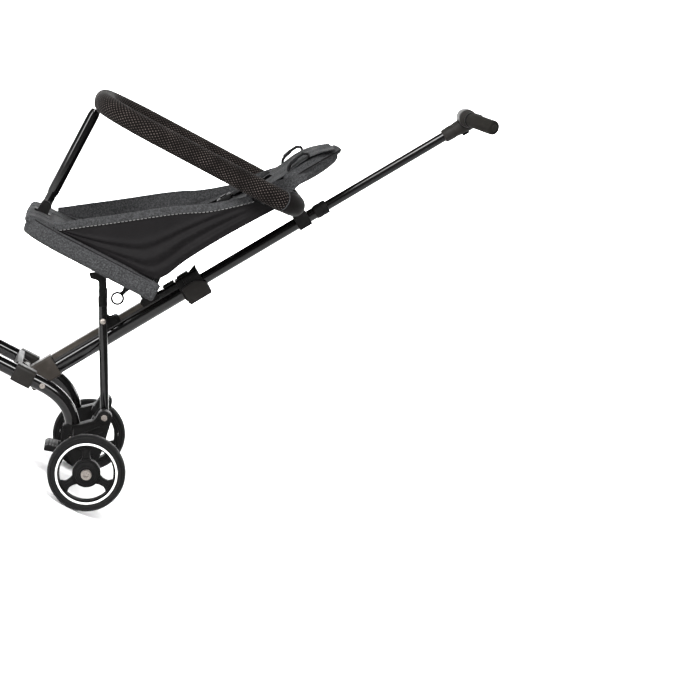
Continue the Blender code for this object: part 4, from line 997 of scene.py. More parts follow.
@dataclass
class BaseFrame:
    """Lower tubes, rear brackets, axle, footrest, front casters and foot brake."""

    tube_radius: float = 0.014
    bracket_half: float = 0.015
    axle_radius: float = 0.006

    def route(self, side: int) -> list[Vector]:
        """Centre line of a base tube from its front housing to its rear bracket.

        Args:
            side: 1 for the left, -1 for the right.

        Returns:
            Points of the line.
        """
        y = side * BASE_TUBE_Y
        start = place(-0.4445, BASE_TUBE_Z, side * 0.1235)
        points = [start]
        points += bezier(start, place(-0.436, BASE_TUBE_Z, side * 0.108),
            place(-0.424, BASE_TUBE_Z, y), place(-0.404, BASE_TUBE_Z, y), 14)
        points += bezier(points[-1], points[-1] + AHEAD * 0.08, place(-0.23, BASE_TUBE_Z, y),
            place(-0.15, BASE_TUBE_Z, y), 8)
        points += bezier(place(-0.15, BASE_TUBE_Z, y), place(-0.105, BASE_TUBE_Z, y),
            place(-0.075, 0.1553, y), place(-0.0575, 0.125, y), 18)
        points.append(place(-0.046, 0.1051, y))
        return points

    def tubes(self) -> None:
        """The two gloss base tubes."""
        for word, side in SIDES:
            Form().sweep(self.route(side), self.tube_radius, 48, lip=0.001).piece(
                f"base_tube_shell_{word}", "base", Finishes.TUBE, [f"base_tube_{word}"], 40.0)

    def bracket(self, word: str, side: int) -> None:
        """Moulded rear bracket with a sunk panel, ribs, strut boss and axle sleeve.

        Args:
            word: the side's word in the names.
            side: 1 for the left, -1 for the right.
        """
        outline = rounded(mm((-76, 120, 3), (-46, 137.5, 8), (-26.2, 156, 12), (-24.5, 182.5, 12.2),
            (0.5, 182.5, 12.2), (5.5, 160, 12), (15, 110, 20), (20, 55, 18.5), (-20, 55, 18.5),
            (-66, 90, 14)), 7)
        y = side * BASE_TUBE_Y
        facing = side_frame(y=y) if side > 0 else side_frame(y=y) @ Matrix.Diagonal(
            (1.0, -1.0, 1.0, 1.0))
        form = Form().plate([outline], 2.0 * self.bracket_half, facing, 0.0022, 3,
            inset=(0.0034, 0.0012))
        outer = side * (BASE_TUBE_Y + self.bracket_half)
        boss = place(*STRUT_FOOT, outer - side * 0.001)
        form.turn(mm((0, 3), (7.8, 3), (8.4, 2.5), (8.6, 1.8), (11.2, 1.8), (12, 1), (12.2, -2),
            (0, -2)), spindle(boss, ACROSS * side))
        for low, high in (((-0.03, 0.102), (-0.002, 0.144)), ((-0.048, 0.1075), (-0.012, 0.15)),
                ((-0.046, 0.092), (0.000, 0.096))):
            run = Vector((high[0] - low[0], 0.0, high[1] - low[1]))
            centre = place((low[0] + high[0]) / 2.0, (low[1] + high[1]) / 2.0, outer)
            form.box((-run.length / 2.0, -0.0014, -0.0011), (run.length / 2.0, 0.0006, 0.0011),
                axes(centre, run.normalized(), ACROSS), 0.0008, 2)
        form.plate([box_outline(-0.0585, 0.0985, -0.0445, 0.1105, 0.002),
            box_outline(-0.0565, 0.1003, -0.0465, 0.1087, 0.001)], 0.0022,
            side_frame(y=outer - side * 0.0006), 0.0004, 2)
        sleeve = side * 0.1425
        form.turn(mm((0, 39.5), (11.8, 39.5), (12.5, 38.8), (12.5, 35), (10.6, 33.5), (10.6, -20),
            (14, -31), (15, -36), (15, -39.5), (0, -39.5)), spindle(place(0.0, REAR_AXLE_Z, sleeve),
            ACROSS * side))
        form.turn(mm((0, 0.8), (17.2, 0.8), (18, 0), (18.2, -4), (0, -4)),
            spindle(place(0.0, REAR_AXLE_Z, outer), ACROSS * side))
        cheek = rounded(mm((-24.5, 182.5, 12.2), (0.5, 182.5, 12.2), (3, 145, 4), (-30, 145, 4)), 6)
        form.plate([cheek], 0.0035, side_frame(y=side * 0.0505), 0.0008)
        form.box((-0.03, -0.016, 0.144), (0.004, 0.016, 0.156), side_frame(y=side * 0.0647), 0.0015)
        form.piece(f"rear_bracket_shell_{word}", "base", Finishes.PLASTIC, [f"rear_bracket_{word}"],
            30.0)

    def screw(self, form: Form, head: Vector, outward: Vector, radius: float,
            height: float) -> Form:
        """Adds a slotted round screw head to a form.

        Args:
            form: the form that takes it.
            head: middle of the head.
            outward: the way it faces.
            radius: the head's radius.
            height: the head's height.

        Returns:
            The form.
        """
        turned = spindle(head, outward)
        form.turn([(0.0, 0.4 * height), (radius * 0.96, 0.4 * height), (radius, 0.3 * height),
            (radius, -0.0006), (0.0, -0.0006)], turned, 48)
        slit = 0.09 * radius + 0.0002
        for flip in (-1, 1):
            shape = [(slit * flip, -0.9 * radius), (slit * flip, 0.9 * radius)]
            shape += [(flip * 0.93 * radius * cos(a), 0.93 * radius * sin(a))
                for a in [radians(74 - 148 * k / 14) for k in range(15)]]
            form.plate([shape], height * 0.62, turned @ Matrix.Rotation(pi / 2.0, 4, "X")
                @ Matrix.Translation((0.0, -0.66 * height, 0.0)), 0.0004, 2)
        return form

    def bolts(self) -> None:
        """Strut bolts, stop bolts, the small bracket screws and the rear axle."""
        for word, side in SIDES:
            out = ACROSS * side
            form = Form().rod(place(*STRUT_FOOT, side * 0.0475), place(*STRUT_FOOT, side * 0.1085),
                0.004)
            self.screw(form, place(*STRUT_FOOT, side * 0.109), out, 0.0062, 0.0021)
            form.turn(mm((0, 2), (5.6, 2), (6.2, 1.4), (6.2, -1.6), (0, -1.6)),
                spindle(place(*STRUT_FOOT, side * 0.0467), -out), 6)
            self.screw(form, place(-0.0515, 0.1045, side * 0.1062), out, 0.003, 0.0014)
            form.piece(f"strut_bolt_set_{word}", "base", Finishes.STEEL, [f"strut_bolt_{word}"])
            stop = Form().rod(place(-0.147, BASE_TUBE_Z, side * 0.0775),
                place(-0.147, BASE_TUBE_Z, side * 0.106), 0.003)
            self.screw(stop, place(-0.147, BASE_TUBE_Z, side * 0.1064), out, 0.0055, 0.002)
            stop.turn(mm((0, 1.6), (4.5, 1.6), (5, 1), (5, -1.6), (0, -1.6)),
                spindle(place(-0.147, BASE_TUBE_Z, side * 0.076), -out), 6)
            stop.piece(f"stop_bolt_set_{word}", "base", Finishes.STEEL, [f"stop_bolt_{word}"])
        axle = Form().rod(place(0.0, REAR_AXLE_Z, -0.218), place(0.0, REAR_AXLE_Z, 0.218),
            self.axle_radius)
        for _, side in SIDES:
            head = side_frame(0.0, REAR_AXLE_Z, side * 0.22)
            hexagon = [(0.0048 * cos(tau * k / 6), 0.0048 * sin(tau * k / 6)) for k in range(6)]
            axle.plate([circle(0.0, 0.0, 0.0105, 56), hexagon], 0.0044, head, 0.001, 2)
            axle.rod(place(0.0, REAR_AXLE_Z, side * 0.2176), place(0.0, REAR_AXLE_Z, side * 0.219),
                0.009, lip=0.0)
        axle.piece("rear_axle_bar", "base", Finishes.STEEL, ["rear_axle"])

    def footrest(self) -> None:
        """Ribbed footrest between the base tubes."""
        form = Form().plate([rounded(mm((-446, 158, 3), (-410, 158, 3), (-410, 169, 5),
            (-413.5, 173, 3), (-442.5, 173, 3), (-446, 169, 5)), 4)], 0.156, side_frame(), 0.0008,
            2)
        for k in range(5):
            x = -0.4395 + 0.0059 * k
            form.box((x, -0.07, 0.1722), (x + 0.003, 0.07, 0.1742), side_frame(), 0.0006, 2)
        form.piece("footrest_tread", "base", Finishes.PLASTIC, ["footrest"])

    def housing(self, word: str, side: int) -> None:
        """Swivel housing with its domed cap and the collar round the tube.

        Args:
            word: the side's word in the names.
            side: 1 for the left, -1 for the right.
        """
        where = Matrix.Translation(place(STEM[0], 0.0, side * STEM[1]))
        profile = mm((0, 195), (6, 194.8), (12.5, 193.7), (17, 191.2), (18.8, 189), (19, 187.4),
            (20, 186.8), (21, 185), (21, 156), (20.4, 151), (19, 148.2), (6.8, 148.2), (6.8, 174.5),
            (0, 174.5))
        form = Form().turn(profile, where, 72)
        route = self.route(side)
        form.sweep(route[:9], [0.0178] * 7 + [0.0172, 0.016], 48, lip=0.001)
        form.piece(f"swivel_housing_shell_{word}", "base", Finishes.PLASTIC,
            [f"swivel_housing_{word}"], 30.0)

    def fork(self, word: str, side: int) -> None:
        """Caster fork: crown, two legs, stem and wheel pin.

        Args:
            word: the side's word in the names.
            side: 1 for the left, -1 for the right.
        """
        stem_x, y = STEM[0], side * STEM[1]
        x = stem_x + 0.028
        leg = rounded([(stem_x - 0.016, 0.147, 0.003), (stem_x - 0.017, 0.118, 0.024),
            (x - 0.0115, 0.0565, 0.0112), (x + 0.0115, 0.0565, 0.0112), (x + 0.0125, 0.1, 0.03),
            (x - 0.004, 0.147, 0.005)], 7)
        form = Form()
        for flip in (-1, 1):
            facing = side_frame(y=y + flip * 0.0178)
            if flip < 0:
                facing = facing @ Matrix.Diagonal((1.0, -1.0, 1.0, 1.0))
            form.plate([leg], 0.0042, facing, 0.0012, 3, inset=(0.003, 0.0008))
        form.box((stem_x - 0.0158, -0.0175, 0.14), (x - 0.005, 0.0175, 0.1468), side_frame(y=y),
            0.0016)
        form.rod(place(stem_x, 0.144, y), place(stem_x, 0.174, y), 0.006)
        form.turn(mm((6, 1), (11, 0.8), (12, 0), (12, -3), (6, -3)),
            Matrix.Translation(place(stem_x, 0.1472, y)), 48, ring=True)
        form.rod(place(x, 0.068, y - 0.0205), place(x, 0.068, y + 0.0205), 0.004)
        form.piece(f"front_fork_shell_{word}", f"fork_{word}", Finishes.PLASTIC,
            [f"front_fork_{word}"], 30.0)
        pin = Form()
        for flip in (-1, 1):
            self.screw(pin, place(x, 0.068, y + flip * 0.0199), ACROSS * flip, 0.006, 0.0022)
        pin.piece(f"front_pin_heads_{word}", f"fork_{word}", Finishes.STEEL)

    def brake(self) -> None:
        """Foot pedal on its sleeve round the axle, with a ribbed tread."""
        outline = mm((-82, 46), (-40, 58.5), (2.5, 69), (2.5, 80), (-40, 68.5), (-80, 60),
            (-85, 54))
        form = Form().turn(mm((6.6, 74), (9.4, 74), (10, 73.4), (10, -73.4), (9.4, -74),
            (6.6, -74)), spindle(place(0.0, REAR_AXLE_Z), ACROSS), 64, ring=True)
        for y in (-0.031, 0.031):
            form.plate([outline], 0.018, side_frame(y=y), 0.0022, 3)
        tread = mm((-82, 46), (-60, 52.4), (-60, 64.2), (-80, 60), (-85, 54))
        form.plate([tread], 0.06, side_frame(), 0.0018, 3)
        heel = mm((-13, 65.5), (2.5, 69), (2.5, 80), (-13, 76.2))
        form.plate([heel], 0.05, side_frame(), 0.0012, 2)
        for k in range(4):
            share = k / 3.0
            rib = place(-0.079 + 0.017 * share, 0.06 + 0.0037 * share)
            form.rod(rib - ACROSS * 0.034, rib + ACROSS * 0.034, 0.0012, 12, 0.0004)
        form.piece("brake_pedal_shell", "brake", Finishes.PLASTIC, ["brake_pedal"], 30.0)

    def build(self) -> None:
        """Makes every piece of the base."""
        self.tubes()
        for word, side in SIDES:
            self.bracket(word, side)
            self.housing(word, side)
            self.fork(word, side)
        self.bolts()
        self.footrest()
        self.brake()


@dataclass
class Scissor:
    """The two struts with their heads, the crossing pin and the sliding carriage."""

    radius: float = 0.0085
    half_width: float = 0.062
    pole_foot: Pair = (-0.188, 0.17)

    def struts(self) -> None:
        """Gloss struts with moulded heads that run in the seat rails."""
        for word, side in SIDES:
            y = side * self.half_width
            foot = place(*STRUT_FOOT, y)
            form = Form().rod(foot - STRUT_DIR * 0.006, foot + STRUT_DIR * 0.2262, self.radius, 48,
                0.0012)
            form.piece(f"strut_bar_{word}", "strut_frame", Finishes.TUBE, [f"strut_{word}"])
            blade = rounded(mm((224, -7.2, 2), (295.2, -7.2, 7), (295.2, 7.5, 7), (280, 8.5, 2),
                (279.5, 26, 2), (268.5, 22.5, 3), (264, 7.2, 6), (224, 7.2, 2)), 5)
            head = Form().plate([blade], 0.015, strut_frame(y), 0.0014, 3)
            head.turn(mm((0, 0), (8.4, 0), (8.9, 0.4), (9, 1.2), (9, 18), (8.4, 20), (0, 20)),
                spindle(foot + STRUT_DIR * 0.213, STRUT_DIR), 56)
            axle = foot + STRUT_DIR * 0.288
            head.rod(axle - ACROSS * 0.0114, axle + ACROSS * 0.0114, 0.0025, 24)
            head.piece(f"strut_cap_{word}", "strut_frame", Finishes.PLASTIC, [f"strut_head_{word}"],
                30.0)
        pin = Form().rod(place(*CROSSING, -0.0725), place(*CROSSING, 0.0725), 0.004)
        for _, side in SIDES:
            pin.turn(mm((0, 2.6), (2, 2.4), (4.4, 1.6), (5.7, 0.4), (5.8, -1.8), (0, -1.8)),
                spindle(place(*CROSSING, side * 0.0729), ACROSS * side), 48)
        pin.piece("scissor_pin_bar", "strut_frame", Finishes.STEEL, ["scissor_pin"])

    def carriage(self) -> None:
        """Carriage with sleeves round the base tubes, a beam and lugs for the pole's foot."""
        x, z = self.pole_foot
        form = Form().box((x - 0.024, -0.08, z - 0.017), (x - 0.0115, 0.08, z + 0.017),
            side_frame(), 0.003, 4)
        for k in (-1, 0, 1):
            form.box((x - 0.0246, -0.06, z + 0.0085 * k - 0.0014),
                (x - 0.0236, 0.06, z + 0.0085 * k + 0.0014), side_frame(), 0.0004, 2)
        for _, side in SIDES:
            y = side * BASE_TUBE_Y
            shell = box_outline(-0.0182, -0.0182, 0.0182, 0.0182, 0.0085)
            form.plate([shell, circle(0.0, 0.0, 0.0149)], 0.041,
                axes(place(x, z, y), AHEAD, ACROSS), 0.0012, 2, lengthways=True)
            lug = rounded([(x - 0.014, z - 0.013, 0.003), (x + 0.0095, z - 0.0095, 0.0092),
                (x + 0.0095, z + 0.0095, 0.0092), (x - 0.014, z + 0.013, 0.003)], 7)
            form.plate([lug], 0.006, side_frame(y=side * 0.0232), 0.001, 2)
        form.piece("carriage_shell", "carriage", Finishes.SATIN, ["carriage"], 30.0)
        pin = Form().rod(place(x, z, -0.0285), place(x, z, 0.0285), 0.004)
        for _, side in SIDES:
            pin.turn(mm((0, 2), (3.5, 1.8), (6, 0.8), (6.5, -0.2), (6.5, -1.4), (0, -1.4)),
                spindle(place(x, z, side * 0.0279), ACROSS * side), 48)
        pin.piece("carriage_pin_bar", "carriage", Finishes.STEEL, ["carriage_pin"])


@dataclass
class Pole:
    """Main tube with its box front, knuckle, brackets, clamp and telescoping stage."""

    round_radius: float = 0.016
    box_half: float = 0.0115
    box_front: float = 0.0235
    top: float = 0.345
    inner_radius: float = 0.012
    lever: Pair = (0.338, -0.0257)

    def outline(self, grow: float = 0.0) -> Outline:
        """Cross-section of the main tube: a round back with a narrower box on its front.

        Args:
            grow: how far it stands off the tube's face.

        Returns:
            The outline.
        """
        radius = self.round_radius + grow
        half = self.box_half + grow
        front = self.box_front + grow
        meet = asin(half / radius)
        points = []
        for k in range(37):
            angle = meet + (tau - 2 * meet) * k / 36
            points.append((radius * sin(angle), -0.0015 + radius * cos(angle)))
        corner = 0.004
        for sign in (-1, 1):
            for k in range(6):
                share = k / 5.0 if sign < 0 else 1.0 - k / 5.0
                turn = pi / 2.0 * share
                points.append((sign * (half - corner + corner * cos(turn)), front - corner
                    + corner * sin(turn)))
        return points

    def main_tube(self) -> None:
        """The pressed main tube, with lighter skins on its box faces that are painted reflection."""
        hollow = circle(0.0, 0.0, self.inner_radius + 0.0006, 40)
        form = Form().plate([self.outline(), hollow], self.top - 0.0003, pole_frame(self.top / 2.0),
            lengthways=True)
        for y in (-0.005, 0.005):
            form.box((0.05, y - 0.0006, 0.0228), (0.3, y + 0.0006, 0.024), pole_frame(), 0.0004, 2)
        form.piece("main_tube_shell", "pole", Finishes.TUBE, ["main_tube"], 32.0)
        # Thin brown-grey skins over the box's side and front faces are painted reflection: a lighter finish
        # stands in for the grey sheen that these faces would pick up.
        wide, front = self.box_half + 0.00035, self.box_front + 0.00035
        cover = Form()
        for low, high in ((0.047, 0.156), (0.201, 0.2505)):
            for _, side in SIDES:
                cover.box((low, side * wide - 0.0002, 0.0145), (high, side * wide + 0.0002, front),
                    pole_frame(), 0.0)
            cover.box((low, 0.002 - wide, front - 0.0003), (high, wide - 0.002, front + 0.0001),
                pole_frame(), 0.0)
        cover.piece("main_tube_painted_reflection", "pole", Finishes.GREY_AND_PAINTED_REFLECTION)

    def knuckle(self) -> None:
        """Foot knuckle that takes the main tube and turns in the carriage."""
        form = Form().plate([box_outline(-0.0192, -0.019, 0.0192, 0.0262, 0.005),
            self.outline(0.0003)], 0.038, pole_frame(0.026), 0.001, 2, lengthways=True)
        form.box((-0.02, -0.0192, -0.019), (0.01, 0.0192, 0.0262), pole_frame(), 0.0045, 4)
        form.rod(place(-0.188, 0.17, -0.0188), place(-0.188, 0.17, 0.0188), 0.0098, 56, 0.0012)
        for y in (-0.0192, 0.0192):
            sign = 1 if y > 0 else -1
            form.turn(mm((0, 0.6), (4.4, 0.6), (5.2, -0.4), (0, -0.4)),
                spindle(on_pole(0.03, 0.004, y - sign * 0.0003), ACROSS * sign), 32)
        form.piece("pole_knuckle_shell", "pole", Finishes.GREY_AND_PAINTED_REFLECTION, ["pole_knuckle"], 30.0)

    def brackets(self) -> None:
        """Saddle of the crossing pin and bracket of the seat's hinge."""
        centre = place(*CROSSING) - on_pole(0.0)
        s, n = centre.dot(POLE_DIR), centre.dot(POLE_FRONT)
        shapes = (("pivot_saddle", [(s - 0.016, 0.012, 0.002), (s + 0.026, 0.012, 0.002),
            (s + 0.026, 0.0275, 0.003), (s + 0.01, 0.03, 0.004), (s + 0.0085, n + 0.0088, 0.0085),
            (s - 0.0088, n + 0.0088, 0.0085), (s - 0.01, 0.03, 0.004), (s - 0.016, 0.0275, 0.003)]),
            ("seat_hinge_bracket", mm((252, 13, 2), (288, 13, 2), (288, 26.2, 2), (277, 26.8, 4),
            (276, 38, 7.8), (260, 38, 7.8), (258, 26.8, 4), (252, 26.2, 2))))
        for name, corners in shapes:
            form = Form()
            for _, side in SIDES:
                form.plate([rounded(corners, 7)], 0.004, pole_frame(y=side * 0.0139), 0.001, 2)
            low = min(c[0] for c in corners)
            high = max(c[0] for c in corners)
            form.box((low, -0.015, self.box_front + 0.0003), (high, 0.015, 0.0268), pole_frame(),
                0.0008, 2)
            if name == "pivot_saddle":
                form.turn(mm((4.3, 11.9), (8, 11.9), (8, -11.9), (4.3, -11.9)),
                    spindle(place(*CROSSING), ACROSS), 48, ring=True)
            else:
                pin = on_pole(0.268, 0.03)
                form.rod(pin - ACROSS * 0.0265, pin + ACROSS * 0.0265, 0.004, 32)
            for k in (0.15, 0.85):
                where = on_pole(low + (high - low) * k, 0.0205)
                for _, side in SIDES:
                    form.turn(mm((0, 0.6), (1.8, 0.5), (2.2, -0.4), (0, -0.4)),
                        spindle(where + ACROSS * side * 0.0159, ACROSS * side), 24)
            form.piece(f"{name}_shell", "pole", Finishes.PLASTIC, [name], 30.0)

    def clamp(self) -> None:
        """Latch box, clamp collar and cam lever."""
        latch = Form().box((0.304, -0.011, self.box_front + 0.0003), (0.3295, 0.011, 0.029),
            pole_frame(), 0.002, 4)
        for k in range(3):
            latch.box((0.309 + 0.006 * k, -0.0075, 0.0284), (0.3115 + 0.006 * k, 0.0075, 0.0297),
                pole_frame(), 0.0005, 2)
        latch.piece("latch_box_shell", "pole", Finishes.PLASTIC, ["latch_box"], 30.0)
        collar = Form().plate([box_outline(-0.0205, -0.0205, 0.0205, 0.0265, 0.0062),
            self.outline(0.0004)], 0.0143, pole_frame(0.33815), 0.0008, 2, lengthways=True)
        collar.plate([box_outline(-0.0205, -0.0205, 0.0205, 0.0265, 0.0062),
            circle(0.0, 0.0, self.inner_radius + 0.0004, 40)], 0.0345, pole_frame(0.36275), 0.0008,
            2, lengthways=True)
        collar.box((0.337, -0.014, 0.02), (0.362, 0.014, 0.0305), pole_frame(), 0.0024, 4)
        collar.plate([rounded(mm((356, 24, 1), (380, 26.2, 1), (381.8, 33, 1.2), (379.5, 32.5, 1.2),
            (370, 29, 6)), 4)], 0.02, pole_frame(), 0.0006, 2)
        collar.box((0.3325, -0.0075, -0.029), (0.3435, 0.0075, -0.018), pole_frame(), 0.0018, 3)
        for s in (0.35, 0.358):
            for _, side in SIDES:
                collar.box((s, side * 0.0204 - 0.0006, -0.012),
                    (s + 0.003, side * 0.0204 + 0.0006, 0.018), pole_frame(), 0.0004, 2)
        collar.piece("clamp_collar_shell", "pole", Finishes.PLASTIC, ["clamp_collar"], 30.0)
        lever = Form()
        for _, side in SIDES:
            wing = rounded(mm((335, -29.5, 3), (384, -29.5, 6), (384, -4, 8), (366, 8.5, 10),
                (335, 8.5, 4)), 6)
            lever.plate([wing], 0.0036, pole_frame(y=side * 0.0231), 0.0012, 3)
            lever.box((0.3352, side * 0.0155 - 0.0065, -0.03),
                (0.3838, side * 0.0155 + 0.0075, -0.0224), pole_frame(), 0.002)
        lever.box((0.346, -0.022, -0.03), (0.3838, 0.022, -0.0226), pole_frame(), 0.0022, 4)
        for k in range(4):
            lever.box((0.356 + 0.006 * k, -0.014, -0.0306), (0.3585 + 0.006 * k, 0.014, -0.0294),
                pole_frame(), 0.0005, 2)
        pivot = on_pole(*self.lever)
        lever.rod(pivot - ACROSS * 0.0225, pivot + ACROSS * 0.0225, 0.0024, 24)
        lever.piece("clamp_lever_shell", "lever", Finishes.SATIN, ["clamp_lever"], 30.0)

    def stage(self) -> None:
        """Telescoping stage with its end collar."""
        Form().plate([circle(0.0, 0.0, self.inner_radius, 56), circle(0.0, 0.0, 0.0106, 56)], 0.35,
            pole_frame(0.475), lengthways=True).piece("inner_tube_shell", "pole", Finishes.TUBE,
            ["inner_tube"], 32.0)
        profile = mm((10.4, 666), (13, 665.7), (13.9, 664), (14, 662), (14, 656), (13.5, 655.2),
            (13.5, 653.2), (14, 652.4), (14, 643), (13.4, 640), (12.3, 638), (12.3, 650.3),
            (10.2, 650.3), (10.2, 666))
        Form().turn(profile, spindle(on_pole(0.0), POLE_DIR), 64, ring=True).piece(
            "end_collar_ring", "pole", Finishes.PLASTIC, ["end_collar"], 30.0)

    def bumper_bracket(self) -> None:
        """Clamp on the stage with two cheeks that hold the bumper's core."""
        centre = place(BUMPER_REAR_X, BUMPER_Z) - on_pole(0.0)
        s, n = centre.dot(POLE_DIR), centre.dot(POLE_FRONT)
        form = Form().plate([box_outline(-0.0165, -0.015, 0.0165, 0.0175, 0.006),
            circle(0.0, 0.0, self.inner_radius + 0.0003, 40)], 0.028, pole_frame(s), 0.0014, 2,
            lengthways=True)
        cheek = rounded([(s - 0.013, 0.012, 0.001), (s + 0.013, 0.012, 0.001),
            (s + 0.013, n + 0.0125, 0.0125), (s - 0.013, n + 0.0125, 0.0125)], 8)
        for _, side in SIDES:
            form.plate([cheek, circle(s, n, 0.0085, 40)], 0.005, pole_frame(y=side * 0.0155),
                0.0008, 2)
            form.turn(mm((0, 1), (2.6, 0.8), (3.4, -0.2), (0, -0.4)),
                spindle(on_pole(s + 0.006, -0.006, side * 0.0165), ACROSS * side), 24)
        form.plate([rounded(mm((150, 688, 0), (140, 694.5, 0), (128, 688, 6), (76.3, 680.7, 2),
            (83.3, 701.6, 1), (79.3, 704.1, 1), (53.3, 660.6, 1), (57.3, 658.1, 1),
            (72.3, 674.7, 3), (130, 682.5, 4)), 5)], 0.02, side_frame(), 0.001, 2)
        form.piece("bumper_bracket_shell", "pole", Finishes.PLASTIC, ["bumper_bracket"], 30.0)

    def build(self) -> None:
        """Makes every piece of the pole."""
        self.main_tube()
        self.knuckle()
        self.brackets()
        self.clamp()
        self.stage()
        self.bumper_bracket()


@dataclass
class Padding:
    """A padded piece: a divided cage that is swelled by a cloth simulation and then sewn."""

    name: str
    body: str
    where: Matrix
    half_length: float
    half_width: float
    half_thick: float
    edge: float
    shape: Callable[[float, float], Triple]
    cuts: tuple[int, int] = (18, 20)
    cap: float = 0.006
    voxel: float = 0.005
    pressure: float = 4.0
    taper: float = 4.0
    steps: int = 20
    cloth_mass: float = 0.3
    tension: float = 12.0
    bending: float = 0.6

    def cage(self) -> BMesh:
        """The crowned cage before its simulation, in world metres.

        Returns:
            The mesh.
        """
        bm = bmesh.new()
        bmesh.ops.create_cube(bm, size=2.0)
        for axis, cuts in ((0, self.cuts[0]), (1, self.cuts[1]), (2, 1)):
            edges = [e for e in bm.edges if abs(e.verts[0].co[axis] - e.verts[1].co[axis]) > 1.0]
            bmesh.ops.subdivide_edges(bm, edges=edges, cuts=cuts, use_grid_fill=True)
        for vert in bm.verts:
            u, v, w = vert.co
            crown = self.edge + (1.0 - self.edge) * sqrt(max(0.0, (1.0 - abs(u) ** self.taper)
                * (1.0 - v ** 4)))
            long_scale, wide_scale, lift = self.shape(u, v)
            pull = 1.0 - 0.015 * w * w
            vert.co = Vector((u * self.half_length * long_scale * pull, v * self.half_width
                * wide_scale * pull, w * self.half_thick * crown + lift))
        bmesh.ops.transform(bm, matrix=self.where, verts=bm.verts)
        return bm

    def swell(self, made: Object) -> None:
        """Remeshes the piece, blows it up as cloth and keeps each point within the cap.

        Args:
            made: the piece.
        """
        remesh = made.modifiers.new("remesh", "REMESH")
        remesh.mode = "VOXEL"
        remesh.voxel_size = self.voxel
        self.settle(made)
        before = [v.co.copy() for v in made.data.vertices]
        cloth = made.modifiers.new("cloth", "CLOTH")
        cloth.settings.quality = 5
        cloth.settings.mass = self.cloth_mass
        cloth.settings.tension_stiffness = self.tension
        cloth.settings.bending_stiffness = self.bending
        cloth.settings.use_pressure = True
        cloth.settings.uniform_pressure_force = self.pressure
        cloth.settings.effector_weights.gravity = 0.0
        scene = bpy.context.scene
        for step in range(self.steps):
            scene.frame_set(step + 1)
        self.settle(made)
        scene.frame_set(1)
        for vert, rest in zip(made.data.vertices, before):
            move = vert.co - rest
            if move.length > self.cap:
                vert.co = rest + move.normalized() * self.cap

    @staticmethod
    def settle(made: Object) -> None:
        """Applies the object's modifiers.

        Args:
            made: the object.
        """
        graph = bpy.context.evaluated_depsgraph_get()
        mesh = bpy.data.meshes.new_from_object(made.evaluated_get(graph))
        made.modifiers.clear()
        made.data = mesh

    def make(self, finish: Finish, replaces: Sequence[str], sewn: Callable[[float, float, float],
            float] | None = None) -> Object:
        """Makes the padded piece.

        Args:
            finish: its finish.
            replaces: CAD nodes that it stands for.
            sewn: depth of the sewn channels at (u, v, w) in the pad's own frame, in metres.

        Returns:
            The object.
        """
        made = Form().take(self.cage()).piece(self.name, self.body, finish, replaces)
        self.swell(made)
        smooth = made.modifiers.new("smooth", "SUBSURF")
        smooth.levels = smooth.render_levels = 1
        self.settle(made)
        if sewn is not None:
            self.sew(made, sewn)
        made.data.materials.clear()
        made.data.materials.append(finish.material())
        made.data.shade_smooth()
        return made

    def border(self, made: Object, steps: int = 90) -> list[Vector]:
        """Closed line round the outermost points of the pad.

        Args:
            made: the finished pad.
            steps: number of places on the line.

        Returns:
            Places in world metres.
        """
        back = self.where.inverted()
        reach = [Vector((0.0, 0.0, 0.0))] * steps
        for vert in made.data.vertices:
            spot = back @ vert.co
            turn = atan2(spot.y / self.half_width, spot.x / self.half_length)
            k = int((turn / tau + 1.0) * steps) % steps
            if spot.xy.length > reach[k].xy.length:
                reach[k] = spot
        smooth = [(reach[k - 2] + reach[k - 1] + reach[k] + reach[(k + 1) % steps]
            + reach[(k + 2) % steps]) / 5.0 for k in range(steps)]
        return [self.where @ spot for spot in smooth]

    def sew(self, made: Object, sewn: Callable[[float, float, float], float]) -> None:
        """Draws the sewn channels into the pad along its normals.

        Args:
            made: the piece.
            sewn: depth of the seams for u, v and w.
        """
        back = self.where.inverted()
        normals = [v.normal.copy() for v in made.data.vertices]
        for vert, normal in zip(made.data.vertices, normals):
            local = back @ vert.co
            depth = sewn(local.x / self.half_length, local.y / self.half_width,
                local.z / self.half_thick)
            vert.co -= normal * depth


def groove(distance: float, width: float, depth: float) -> float:
    """Depth of a soft groove at a distance from its middle."""
    return depth * exp(-(distance / width) ** 2)


def stitches(name: str, body: str, line: Sequence[Vector], lift: Vector, pitch: float,
        length: float, radius: float) -> Object:
    """A row of thread stitches.

    Args:
        name: the piece's name.
        body: the CAD body that it moves with.
        line: places that the row follows.
        lift: how far the thread stands off the line.
        pitch: distance between stitches.
        length: length of one stitch.
        radius: radius of the thread.

    Returns:
        The object.
    """
    form = Form()
    for middle, direction in along_line(line, pitch):
        centre = middle + lift
        form.rod(centre - direction * length / 2.0, centre + direction * length / 2.0, radius, 6,
            0.0)
    return form.piece(name, body, Finishes.THREAD)


